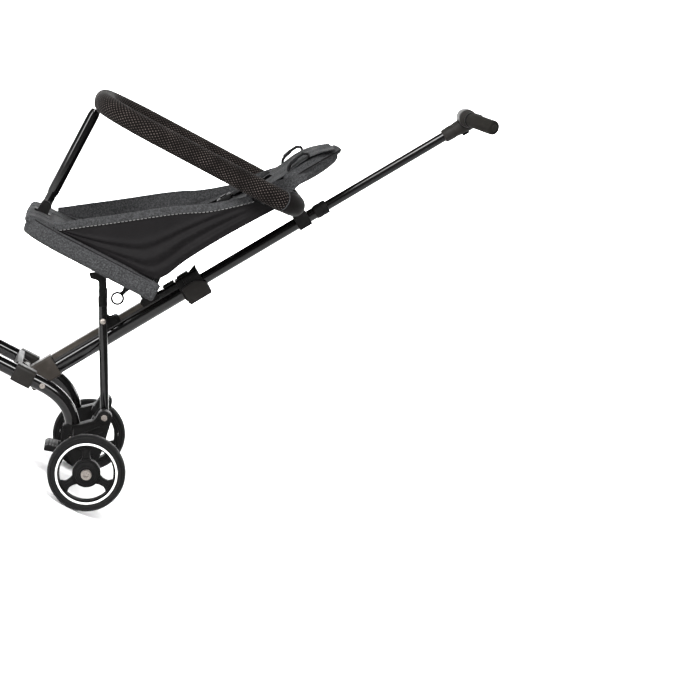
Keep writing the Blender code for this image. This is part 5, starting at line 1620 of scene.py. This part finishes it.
@dataclass
class Seat:
    """Seat board with rails, padded seat, post socket, crotch post and pull ring."""

    front_x: float = -0.333
    rear_x: float = -0.046
    half: float = 0.16
    board_z: float = 0.434
    top_z: float = 0.4572
    post_x: float = -0.301
    post_pivot_z: float = 0.476

    def pad(self) -> None:
        """The padded seat, sewn in channels, with its piping."""
        middle_x = (self.front_x + self.rear_x) / 2.0
        half_length = (self.rear_x - self.front_x) / 2.0

        def shape(u: float, v: float) -> Triple:
            """Length scale, width scale and lift of the cage at a place.

            Args:
                u: share along the pad, -1 to 1.
                v: share across the pad, -1 to 1.

            Returns:
                The two scales and the lift.
            """
            bolster = 0.0045 * max(0.0, abs(v) - 0.72) * 3.6
            wide = 1.0 - 0.05 * u * u - (0.06 * max(0.0, u - 0.7) / 0.3)
            return 1.0 - 0.03 * v * v, wide, bolster

        def sewn(u: float, v: float, w: float) -> float:
            """Depth of the seat's two long seams and three cross seams.

            Args:
                u: share along the pad, -1 to 1.
                v: share across the pad, -1 to 1.
                w: share through the pad, -1 to 1.

            Returns:
                The depth in metres.
            """
            if w < 0.1:
                return 0.0
            long_seam = min(abs(abs(v) - 0.42) * self.half, 1.0)
            cross = min(abs(u - k) * 0.143 for k in (-0.62, -0.05, 0.52))
            depth = groove(long_seam, 0.0035, 0.0036)
            if abs(v) < 0.42:
                depth = max(depth, groove(cross, 0.003, 0.0028))
            return depth

        pad = Padding("seat_pad_cloth", "seat", side_frame(middle_x, 0.4478), half_length + 0.001,
            self.half + 0.001, 0.0098, 0.72, shape, (20, 22), 0.0035)
        pad.make(Finishes.MELANGE, ["seat_pad"], sewn)
        half_y, front, rear = 0.1565, self.front_x + 0.019, -0.04
        line = [place(rear, 0.4385, -half_y)] + [place(rear + (front + 0.035 - rear) * k / 16.0,
            0.4385, -half_y) for k in range(1, 17)]
        for y, start in ((-half_y + 0.035, 180.0), (half_y - 0.035, 90.0)):
            for k in range(1, 13):
                turn = radians(270.0 - 7.5 * k if start > 100.0 else 180.0 - 7.5 * k)
                line.append(place(front + 0.035 + 0.035 * cos(turn), 0.4385, y + 0.035 * sin(turn)))
        line += [place(front + 0.035 + (rear - front - 0.035) * k / 16.0, 0.4385, half_y)
            for k in range(1, 17)]
        ahead = [max(0.0, 1.0 - (p.x - REAR_AXLE_X - front) / 0.06) for p in line]
        line = [p + UP * 0.0022 * a for p, a in zip(line, ahead)]
        roll = Form().sweep(line, [0.0085 - 0.0004 * a for a in ahead], 40, lip=0.005, flat=2.15,
            square=2.3)
        edge = roll.piece("seat_edge_roll", "seat", Finishes.MELANGE, (), 60.0)
        seam = [p + UP * 0.015 + (p - place(-0.19, p.z)).normalized() * 0.0054 for p in line]
        Form().sweep(seam, 0.0011, 10).piece("seat_edge_piping", "seat", Finishes.CHARCOAL)

    def board(self) -> None:
        """Carried-over board, rails and socket get their finish."""
        for word in ("left", "right"):
            dress(f"seat_rail_{word}", Finishes.PLASTIC)
        dress("seat_board", Finishes.PLASTIC)
        dress("post_socket", Finishes.PLASTIC)

    def post(self) -> None:
        """Oval crotch post on its hinge, with a collar under the bumper bar."""
        foot, height = self.post_pivot_z - 0.002, 0.213
        steps = ((0.0, 0.0099), (0.026, 0.0099), (0.03, 0.0113), (0.034, 0.0116), (0.118, 0.0116),
            (0.2, 0.0116), (0.208, 0.0104), (height, 0.0085))
        form = Form().sweep([place(self.post_x, foot + rise) for rise, _ in steps],
            [wide for _, wide in steps], 56, lip=0.0012, flat=1.04)
        form.turn(mm((3.4, 9.9), (10.4, 9.9), (11.2, 9.1), (11.2, -9.1), (10.4, -9.9), (3.4, -9.9)),
            spindle(place(self.post_x, self.post_pivot_z), ACROSS), 56, ring=True)
        form.piece("crotch_post_bar", "post", Finishes.TUBE, ["crotch_post"], 60.0)

    def ring(self) -> None:
        """Pull ring with its tab."""
        centre = place(-0.094, 0.381, -0.035)
        loop = [centre + Vector((cos(tau * k / 48), 0.0, sin(tau * k / 48)))
            * 0.0113 for k in range(48)]
        form = Form().sweep(loop, 0.0022, 16, closed=True)
        tab = rounded(mm((-96, 392.8, 1), (-87.5, 389.8, 1), (-83.5, 402, 2), (-83.8, 408.2, 4),
            (-92.2, 408.2, 4), (-92.5, 400, 2)), 5)
        form.plate([tab], 0.003, side_frame(y=-0.035), 0.0007, 2)
        form.piece("pull_ring_loop", "ring", Finishes.PLASTIC, ["pull_ring"], 30.0)

    def build(self) -> None:
        """Makes every piece of the seat."""
        self.pad()
        self.board()
        self.post()
        self.ring()


def dress(node: str, finish: Finish) -> None:
    """Gives a carried-over CAD node its finish.

    Args:
        node: the node's name.
        finish: its finish.
    """
    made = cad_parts[node]
    made.data.materials.clear()
    made.data.materials.append(finish.material())
    LOG.info("%s keeps its shape", node)


@dataclass
class SideCloth:
    """The two side gussets between the seat and the back, with hems and stitching."""

    across: float = 0.153
    columns: int = 110
    rows: int = 46
    folds: tuple[Triple, ...] = ((0.2, 0.05, 0.0042), (0.34, 0.04, -0.003),
        (0.47, 0.06, 0.0046), (0.64, 0.045, -0.0024), (0.8, 0.06, 0.0032))

    lower: tuple[Pair, ...] = mm((-272, 457.3), (-200, 458), (-130, 458.8), (-62, 460.5),
        (-40, 477), (-20, 520), (14.5, 580), (49, 634), (84, 686))
    upper: tuple[Pair, ...] = mm((-272, 468), (-234, 496), (-196, 523), (-155, 553), (-108, 588),
        (-70, 614), (-38, 633), (-4, 658), (30, 684))

    @staticmethod
    def along(line: Sequence[Pair], t: float) -> Vector:
        """Place (x, z) at a share of an edge, on a smooth curve through its points.

        Args:
            line: the edge's points.
            t: the share, 0 to 1.

        Returns:
            The place.
        """
        count = len(line) - 1
        k = min(int(t * count), count - 1)
        f = t * count - k
        p = [Vector(line[max(0, min(count, k + j))]) for j in (-1, 0, 1, 2)]
        return 0.5 * ((2.0 * p[1]) + (p[2] - p[0]) * f + (2.0 * p[0] - 5.0 * p[1] + 4.0 * p[2]
            - p[3]) * f * f + (3.0 * p[1] - p[0] - 3.0 * p[2] + p[3]) * f ** 3)

    def drift(self, t: float, s: float) -> float:
        """How far the cloth stands out from its flat place, with folds that fan from the front.

        Args:
            t: share along the cloth.
            s: share up the cloth.

        Returns:
            The distance in metres.
        """
        free = sin(pi * min(1.0, max(0.0, s))) ** 0.6
        belly = 0.003 * free * sin(pi * t)
        spread = (t + 0.06) ** 0.55
        fan = 0.0
        for middle, width, depth in self.folds:
            away = (s - middle * spread - 0.04 * sin(5.0 * t + 9.0 * middle)) / width
            fan += depth * exp(-away * away)
        fade = sin(pi * min(1.0, max(0.0, t * 1.08))) ** 0.5
        rear = exp(-((t - 0.46) / 0.16) ** 2) * (1.0 - s) ** 2
        gather = sin(tau * (9.0 * t + 0.8 * s)) * rear
        return belly + free * (fan * fade + 0.0016 * gather)

    def point(self, side: int, t: float, s: float) -> Vector:
        """Place on a gusset, t along it and s from its lower edge to its upper edge."""
        flat = self.along(self.lower, t).lerp(self.along(self.upper, t), s)
        return place(flat.x, flat.y, side * (self.across + self.drift(t, s)))

    def hem_point(self, side: int, t: float, down: float) -> Vector:
        """Place on a gusset's face a distance below its upper edge."""
        height = max(0.01, (self.along(self.upper, t) - self.along(self.lower, t)).length)
        return self.point(side, t, max(0.0, 1.0 - down / height)) + ACROSS * side * 0.0014

    def panel(self, word: str, side: int) -> None:
        """One gusset with its hem, its two rows of stitching and its paler lining.

        Args:
            word: the side's word in the names.
            side: 1 for the left, -1 for the right.
        """
        fresh = sheet(self.columns, self.rows, lambda u, v: self.point(side, (u + 1.0) / 2.0,
            (v + 1.0) / 2.0))
        outward(fresh)
        area = sum(face.calc_area() for face in fresh.faces)
        inner = fresh.copy()
        cloth = Form().take(thicken(fresh, 0.0012)).piece(f"gusset_cloth_{word}", "",
            Finishes.CHARCOAL, [f"gusset_{word}"], 60.0)
        bmesh.ops.translate(inner, vec=ACROSS * (-side * 0.0019), verts=inner.verts)
        lining = Form().take(thicken(inner, 0.001)).piece(f"gusset_lining_{word}", "",
            Finishes.MELANGE, (), 60.0)
        hem_line = [self.hem_point(side, k / 60.0, 0.007) for k in range(61)]
        hem = Form().sweep(hem_line, 0.0014, 20, lip=0.0005, flat=5.4, square=3.0).piece(
            f"gusset_hem_{word}", "", Finishes.MELANGE, (), 60.0)
        rows = []
        for row, (down, thread) in enumerate(((0.015, 0.00075), (0.002, 0.00035))):
            line = [self.hem_point(side, 0.03 + 0.95 * k / 90.0, down) for k in range(91)]
            rows.append(stitches(f"gusset_stitch_{row}_{word}", "", line, ACROSS * side
                * (0.0009 - 0.0006 * row), 0.0074, 0.0046, thread))
        start = place(-0.12, 0.455, side * self.across)
        end = place(0.02, 0.6, side * self.across)
        for piece in (cloth, lining, hem, *rows):
            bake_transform(piece, "seat", "pole", start=start, end=end)
        LOG.info("gusset %s: %.4f square metres", word, area)

    def join(self) -> None:
        """Cloth that closes the gap between the seat and the foot of the backrest."""
        line = mm((-44.6, 442), (-44.6, 458), (-46.2, 472), (-49, 484), (-42.5, 497))

        def point(u: float, v: float) -> Vector:
            """Place on the cloth, with a slight ripple across."""
            spot = self.along(line, (u + 1.0) / 2.0)
            return place(spot.x + 0.0006 * sin(9.0 * pi * v), spot.y, 0.138 * v)

        made = Form().take(thicken(sheet(24, 40, point), 0.0012)).piece("seat_back_cloth", "",
            Finishes.CHARCOAL, (), 60.0)
        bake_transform(made, "seat", "pole", start=place(-0.0446, 0.446), end=place(-0.047, 0.482))


@dataclass
class Back:
    """Backrest pad, head pad, harness straps and buckle."""

    low: Pair = (-0.058, 0.478)
    high: Pair = (0.088, 0.722)

    def frames(self) -> tuple[Matrix, Matrix, Vector]:
        """Frames of the backrest and head pads, and the way the back faces.

        Returns:
            The backrest's frame, the head pad's frame and the direction.
        """
        run = Vector((self.high[0] - self.low[0], 0.0, self.high[1] - self.low[1]))
        lean = run.normalized()
        forward = lean.cross(ACROSS)
        middle = place((self.low[0] + self.high[0]) / 2.0, (self.low[1] + self.high[1]) / 2.0)
        back = axes(middle + forward * 0.014, lean, ACROSS)
        rise = Vector((0.168 - 0.0841, 0.0, 0.8464 - 0.7162))
        head_lean = rise.normalized()
        head = axes(place(0.12605, 0.7813) + head_lean.cross(ACROSS) * 0.012, head_lean, ACROSS)
        return back, head, forward

    def pads(self) -> None:
        """The simulated backrest and head pads."""
        back, head, _ = self.frames()

        def back_shape(u: float, v: float) -> Triple:
            """Cage of the backrest: three soft channels up its front."""
            return 1.0 - 0.04 * v * v, 1.0 - 0.06 * u * u, 0.0025 * cos(3.0 * pi * v) * (1.0 - u
                * u)

        def back_sewn(u: float, v: float, w: float) -> float:
            """Seams of the backrest.

            Args:
                u: share along the pad, -1 to 1.
                v: share across the pad, -1 to 1.
                w: share through the pad, -1 to 1.

            Returns:
                The depth in metres.
            """
            if w < 0.0:
                return 0.0
            depth = groove((abs(v) - 0.36) * 0.145, 0.004, 0.0042)
            rows = min(abs(u - k) * 0.142 for k in (-0.55, 0.0, 0.55))
            if abs(v) < 0.36:
                depth = max(depth, groove(rows, 0.0034, 0.003))
            return depth

        Padding("backrest_cloth", "pole", back, 0.14, 0.144, 0.0125, 0.55, back_shape, (20, 20),
            0.0045).make(Finishes.MELANGE, ["backrest_pad"], back_sewn)

        def head_shape(u: float, v: float) -> Triple:
            """Cage of the head pad: a leaf that narrows to its top."""
            wide = 1.0 - 0.55 * max(0.0, (u + 1.0) / 2.0) ** 2
            return 1.0, wide, 0.005 * cos(2.0 * pi * v) * (1.0 - u * u)

        def head_sewn(u: float, v: float, w: float) -> float:
            """Middle crease and border seam of the head pad.

            Args:
                u: share along the pad, -1 to 1.
                v: share across the pad, -1 to 1.
                w: share through the pad, -1 to 1.

            Returns:
                The depth in metres.
            """
            narrow = 1.0 - 0.55 * max(0.0, (u + 1.0) / 2.0) ** 2
            border = min((1.0 - abs(u)) * 0.062, (narrow - abs(v)) * 0.125)
            depth = groove(border - 0.011, 0.0026, 0.003)
            return max(depth, groove(v * 0.125, 0.005, 0.004) if w > 0.0 else 0.0)

        pad = Padding("head_pad_cloth", "pole", head, 0.074, 0.123, 0.013, 0.16, head_shape,
            (16, 18), 0.0045, 0.004, taper=2.4)
        pad_made = pad.make(Finishes.MELANGE, ["head_pad"], head_sewn)
        border = pad.border(pad_made)
        Form().sweep(border, 0.0014, 10, closed=True).piece("head_piping", "pole",
            Finishes.CHARCOAL)

    def cloth(self, name: str, lower: Outline, upper: Outline, y_of: Callable[[float, float],
            float], flat: Pair, held: str) -> None:
        """A thin cloth between two edges in the side view.

        Args:
            name: the piece's name.
            lower: (x, z) places of one edge.
            upper: (x, z) places of the other edge.
            y_of: how far across a place lies, from its x and its share of the way up.
            flat: width and length of the cloth when it lies flat; not used.
            held: how the cloth is held; not used.
        """

        def point(u: float, v: float) -> Vector:
            """Place on the cloth between its two edges.

            Args:
                u: share along, -1 to 1.
                v: share up, -1 to 1.

            Returns:
                The place.
            """
            t, s = (u + 1.0) / 2.0, (v + 1.0) / 2.0
            spot = SideCloth.along(lower, t).lerp(SideCloth.along(upper, t), s)
            return place(spot.x, spot.y, y_of(spot.x, s))

        made = Form().take(thicken(sheet(40, 12, point), 0.0014)).piece(name, "pole",
            Finishes.MELANGE, (), 60.0)

    def wings(self) -> None:
        """Side wings from the gussets up to the head pad, and the flap over its front."""
        lower = mm((33, 678), (56, 700), (80, 712), (99, 733), (116.5, 780))
        upper = mm((24, 686), (44, 713), (67, 740), (92, 764), (118, 785))
        for word, side in SIDES:
            def across(x: float, s: float) -> float:
                """How far across a wing lies; it draws in towards the head pad.

                Args:
                    x: place along the wing.
                    s: share up the wing.

                Returns:
                    The place on Y.
                """
                share = min(1.0, max(0.0, (x - 0.05) / 0.045))
                fold = 0.0016 * sin(150.0 * x + 3.0 * s)
                return side * (0.1478 - 0.017 * share * share * (3.0 - 2.0 * share) + fold)
            self.cloth(f"back_wing_{word}", lower, upper, across, (0.125, 0.026), "stretched")
        spine = mm((139, 842), (112, 818), (93, 790), (77, 756), (60, 729), (50, 714))

        def over(u: float, v: float) -> Vector:
            """Place on the flap, bowed in soft waves.

            Args:
                u: share along, -1 to 1.
                v: share across, -1 to 1.

            Returns:
                The place.
            """
            t = (u + 1.0) / 2.0
            spot = SideCloth.along(spine, t)
            bow = 0.0035 * sin(pi * t) * cos(2.5 * pi * v)
            return place(spot.x - 0.84 * bow, spot.y + 0.54 * bow, v * (0.08 + 0.038 * t))

        flap = Form().take(thicken(sheet(36, 26, over), 0.0022)).piece("head_flap", "pole",
            Finishes.MELANGE, (), 60.0)

    def harness(self) -> None:
        """Webbing straps, their slots, the buckle and its tongue."""
        back, _, forward = self.frames()
        straps = Form()
        centre = place(0.0341, 0.632)
        for _, side in SIDES:
            loop = [place(x, z, side * 0.09) for x, z in mm((102, 804), (95, 808.5), (87, 804.5),
                (81, 793), (76, 779), (75.5, 768), (79, 761))]
            straps.sweep(loop, 0.0105, 20, lip=0.0008, flat=0.3)
            straps.box((-0.009, -0.0135, -0.003), (0.009, 0.0135, 0.003),
                axes(loop[4].lerp(loop[3], 0.3), (loop[3] - loop[4]).normalized(), ACROSS), 0.0012,
                2)
            shoulder = [place(0.086, 0.719, side * 0.046) + forward * 0.0345,
                place(0.07, 0.692, side * 0.04) + forward * 0.0335,
                place(0.053, 0.664, side * 0.028) + forward * 0.0345,
                place(0.043, 0.647, side * 0.012) + forward * 0.0345]
            straps.sweep(shoulder, 0.0105, 20, lip=0.0004, flat=0.1)
            waist = [centre + forward * 0.0345 + ACROSS * side * 0.012,
                place(0.012, 0.596, side * 0.06) + forward * 0.033,
                place(-0.02, 0.542, side * 0.105) + forward * 0.031,
                place(-0.042, 0.505, side * 0.125) + forward * 0.025]
            straps.sweep(waist, 0.01, 20, lip=0.0004, flat=0.1)
        straps.piece("harness_straps", "pole", Finishes.WEBBING)
        lean = back.col[0].to_3d()
        buckle = Form().plate([rounded(mm((-16, -20, 7), (16, -16, 6), (16, 16, 6), (-16, 20, 7)),
            6)], 0.01, axes(centre + forward * 0.0372, lean, ACROSS)
            @ Matrix.Rotation(-pi / 2.0, 4, "X"), 0.0022, 4)
        buckle.turn(mm((0, 1.6), (6.8, 1.6), (7.6, 0.8), (7.8, -2), (0, -2)),
            spindle(centre + forward * 0.0428, forward), 48)
        buckle.piece("buckle_shell", "pole", Finishes.PLASTIC, ["harness_buckle"], 30.0)

    def build(self) -> None:
        """Makes every piece of the back."""
        self.pads()
        self.wings()
        self.harness()


@dataclass
class Bumper:
    """Padded bumper bar with its mesh cover, cuffs, core and yoke."""

    foam_radius: float = 0.0205
    half_width: float = 0.178
    front_x: float = -0.294

    def route(self, start_y: float, steps: int = 18) -> list[Vector]:
        """Centre line of the bar, round from beside the pole.

        Args:
            start_y: where the line starts on Y.
            steps: divisions of a corner.

        Returns:
            Points of the line.
        """
        front_r, rear_r = 0.115, 0.075
        y = self.half_width
        points = [place(BUMPER_REAR_X, BUMPER_Z, start_y)]
        corners = ((BUMPER_REAR_X - rear_r, y - rear_r, rear_r, 0.0),
            (self.front_x + front_r, y - front_r, front_r, 90.0),
            (self.front_x + front_r, front_r - y, front_r, 180.0),
            (BUMPER_REAR_X - rear_r, rear_r - y, rear_r, 270.0))
        for x, across, radius, angle in corners:
            for k in range(steps + 1):
                turn = radians(angle + 90.0 * k / steps)
                here = place(x + radius * cos(turn), BUMPER_Z, across + radius * sin(turn))
                gap = (here - points[-1]).length
                for j in range(1, int(gap // 0.018) + 1):
                    points.append(points[-1].lerp(here, 1.0 / (int(gap // 0.018) + 2 - j)))
                points.append(here)
        end = place(BUMPER_REAR_X, BUMPER_Z, -start_y)
        points.append(points[-1].lerp(end, 0.5))
        points.append(end)
        return points

    def build(self) -> None:
        """Foam with its cover, seam, cuffs, core and yoke."""
        route = self.route(0.03)
        Form().sweep(route, self.foam_radius - 0.0003, 64, lip=0.004).piece("bumper_cover",
            "bumper", Finishes.MESH, ["bumper_foam"], 50.0)
        middle = place(-0.08, BUMPER_Z)
        inner = [p + ((middle - p).normalized() * 0.72 - UP * 0.69).normalized()
            * (self.foam_radius - 0.0006) for p in route[1:-1]]
        Form().sweep(inner, 0.001, 8).piece("bumper_seam", "bumper", Finishes.WEBBING)
        cuffs = Form()
        piping = Form()
        for ends in (route, route[::-1]):
            bend = [p for p in ends[:40] if p.x > REAR_AXLE_X + 0.082]
            bend = [p for p in bend if p.y * ends[0].y > 0.0]
            cuffs.sweep(bend, self.foam_radius + 0.0005, 64, lip=0.002)
            way = (bend[-1] - bend[-2]).normalized() * 0.0011
            piping.sweep([bend[-1] - way, bend[-1] + way], self.foam_radius + 0.0011, 64,
                lip=0.0009)
        cuffs.piece("bumper_cuffs", "bumper", Finishes.CUFF, (), 50.0)
        piping.piece("bumper_cuff_piping", "bumper", Finishes.MELANGE, (), 60.0)
        middle = place(BUMPER_REAR_X, BUMPER_Z)
        Form().rod(middle - ACROSS * 0.05, middle + ACROSS * 0.05, 0.008, 40).piece(
            "bumper_core_bar", "bumper", Finishes.TUBE, ["bumper_core"])
        Form().turn(mm((8.6, 12.25), (13, 12.25), (14.2, 11.2), (14.5, 10), (14.5, -10),
            (14.2, -11.2), (13, -12.25), (8.6, -12.25)), spindle(middle, ACROSS), 56,
            ring=True).piece("bumper_yoke_ring", "yoke", Finishes.SATIN, ["bumper_yoke"], 30.0)


@dataclass
class Handle:
    """Upper tube, hub with the T-bar, swept grips and release button."""

    radius: float = 0.0098
    grip_radius: float = 0.0145

    def route(self, side: int, steps: int = 27) -> list[Vector]:
        """Centre line of one arm of the T-bar.

        Args:
            side: 1 for the left, -1 for the right.
            steps: divisions of the curve.

        Returns:
            Points of the line.
        """
        middle = on_pole(0.992, 0.009)
        return [middle] + bezier(middle, middle + Vector((0.000, side * 0.04, 0.000)), middle
            + Vector((0.022, side * 0.075, 0.003)), middle + Vector((0.042, side * 0.105, 0.007)),
            steps)

    def build(self) -> None:
        """Makes every piece of the handle."""
        Form().plate([circle(0, 0, self.radius, 48), circle(0, 0, self.radius - 0.0014, 48)], 0.538,
            pole_frame(0.689), lengthways=True).piece("handle_pole_shell", "handle", Finishes.TUBE,
            ["handle_pole"], 32.0)
        hub = Form().turn(mm((0, 1006), (5, 1005.6), (10.5, 1003.6), (14.8, 999.2), (16.2, 994),
            (16.5, 988), (15.8, 979), (14.8, 970), (14.1, 962), (14.1, 960.5), (13.6, 959.8),
            (13.6, 956), (14.1, 955.3), (13.7, 944), (13.1, 936.2), (12.2, 934.5), (0, 934.5)),
            spindle(on_pole(0.0), POLE_DIR), 64)
        arms = self.route(-1)[:22][::-1] + self.route(1)[1:22]
        hub.sweep(arms, 0.009, 32)
        middle = self.route(1)[0]
        hub.turn(mm((0, 27), (12, 27), (15, 26.2), (17.2, 23.5), (17.8, 20), (17.8, 18.5),
            (17, 17.8), (17, 16.6), (17.8, 15.8), (17.8, -15.8), (17, -16.6), (17, -17.8),
            (17.8, -18.5), (17.8, -20), (17.2, -23.5), (15, -26.2), (12, -27), (0, -27)),
            spindle(middle, ACROSS), 72)
        hub.piece("handle_hub_shell", "handle", Finishes.SATIN, ["handle_hub"], 28.0)
        for word, side in SIDES:
            line = self.route(side)[9:]
            radii = [self.grip_radius] * len(line)
            grip = Form().sweep(line, radii, 56, lip=0.0052)
            grip.piece(f"grip_sleeve_{word}", "handle", Finishes.GRIP, [f"grip_{word}"], 40.0)
            tip, before = line[-1], line[-2]
            way = (tip - before).normalized()
            cap = Form().turn(mm((0, 0.6), (6, 0.5), (7.2, 0.2), (7.8, -0.6), (0, -0.6)),
                spindle(tip, way), 48)
            cap.piece(f"grip_end_{word}", "handle", Finishes.SATIN, (), 30.0)
            ring_start = self.route(side)[8]
            Form().sweep([ring_start, self.route(side)[9]], self.grip_radius + 0.0006, 56,
                lip=0.0008).piece(f"grip_ring_{word}", "handle", Finishes.PLASTIC)
        Form().box((0.9686, -0.0054, -0.019), (0.9834, 0.0054, -0.012), pole_frame(), 0.0022,
            4).piece("button_shell", "button", Finishes.PLASTIC, ["release_button"], 30.0)


@dataclass
class Studio:
    """Pale floor, soft lights and the camera at the photograph's angle."""

    eye: Triple = (-0.3413, -4.89541, 0.95281)
    lens: float = 131.944
    right: Triple = (0.87590755, -0.08640193, 0.47467955)
    up: Triple = (-0.4600028, 0.14723504, 0.87562507)
    middle: Triple = (0.0, 0.0, 0.5)
    fill: float = 0.24

    def camera(self) -> None:
        """Makes the camera."""
        data = bpy.data.cameras.new("photo_view")
        data.lens = self.lens
        data.sensor_width = 36.0
        made = bpy.data.objects.new("photo_view", data)
        bpy.context.scene.collection.objects.link(made)
        right, up = Vector(self.right), Vector(self.up)
        turn = Matrix((right, up, right.cross(up))).transposed().to_4x4()
        made.matrix_world = Matrix.Translation(self.eye) @ turn
        bpy.context.scene.camera = made

    def area(self, name: str, spot: Triple, aim: Triple, size: Pair, power: float) -> None:
        """Makes one soft rectangular light that points at a place.

        Args:
            name: the light's name.
            spot: where it stands.
            aim: what it points at.
            size: its width and height.
            power: watts.
        """
        data = bpy.data.lights.new(name, "AREA")
        data.shape = "RECTANGLE"
        data.size, data.size_y = size
        data.energy = power
        made = bpy.data.objects.new(name, data)
        bpy.context.scene.collection.objects.link(made)
        made.matrix_world = spindle(Vector(spot), Vector(spot) - Vector(aim))

    def build(self) -> None:
        """Makes the world, the floor and the lights."""
        self.camera()
        world = bpy.data.worlds.new("studio")
        world.use_nodes = True
        sky = world.node_tree.nodes["Background"]
        sky.inputs[0].default_value = (1.0, 1.0, 1.0, 1.0)
        sky.inputs[1].default_value = self.fill
        bpy.context.scene.world = world
        bpy.context.scene.view_settings.view_transform = "Standard"
        self.area("key", (-0.9, -2.7, 2.9), self.middle, (3.6, 1.05), 310.0)
        self.area("side", (-3.0, -2.6, 1.1), self.middle, (0.8, 1.8), 105.0)
        self.area("rim", (2.4, 1.4, 2.6), self.middle, (0.8, 0.8), 40.0)
        self.area("wall", (0.0, 2.2, 4.5), (0.0, 7.5, 1.8), (7.0, 1.0), 1900.0)
        self.sweep()

    def sweep(self) -> None:
        """Pale floor that curves up into the wall behind the stroller."""
        run, bend, rise, half, divisions = 46.0, 2.0, 9.0, 40.0, 240
        arc = bend * pi / 2.0

        def point(u: float, v: float) -> Vector:
            """Place on the floor, on the bend or on the wall.

            Args:
                u: share across, -1 to 1.
                v: share along, -1 to 1.

            Returns:
                The place.
            """
            way = (v + 1.0) / 2.0 * (run + arc + rise)
            turn = min(max(way - run, 0.0) / bend, pi / 2.0)
            return Vector((u * half, min(way, run) - half + bend * sin(turn), bend
                * (1.0 - cos(turn)) + max(0.0, way - run - arc) - 0.0002))

        fresh = sheet(2, divisions, point)
        floor = Form().take(fresh).piece("floor", "", Finishes.FLOOR)


def main() -> None:
    """Builds the classes in order and reports each piece."""
    logging.basicConfig(level=logging.INFO, format="%(name)s: %(message)s")
    BaseFrame().build()
    for word, side in SIDES:
        for wheel in (Wheel(f"rear_{word}", f"rear_wheel_{word}", 0.0, REAR_AXLE_Z, side * 0.2,
                0.075, 0.015, 0.006), Wheel(f"front_{word}", f"front_wheel_{word}", STEM[0] + 0.028,
                0.068, side * STEM[1], 0.068, 0.013, 0.004)):
            wheel.tyre()
            wheel.rim()
    scissor = Scissor()
    scissor.struts()
    scissor.carriage()
    Pole().build()
    Seat().build()
    Back().build()
    cloth = SideCloth()
    for word, side in SIDES:
        cloth.panel(word, side)
    cloth.join()
    Bumper().build()
    Handle().build()
    Studio().build()


if __name__ == "__main__":
    main()
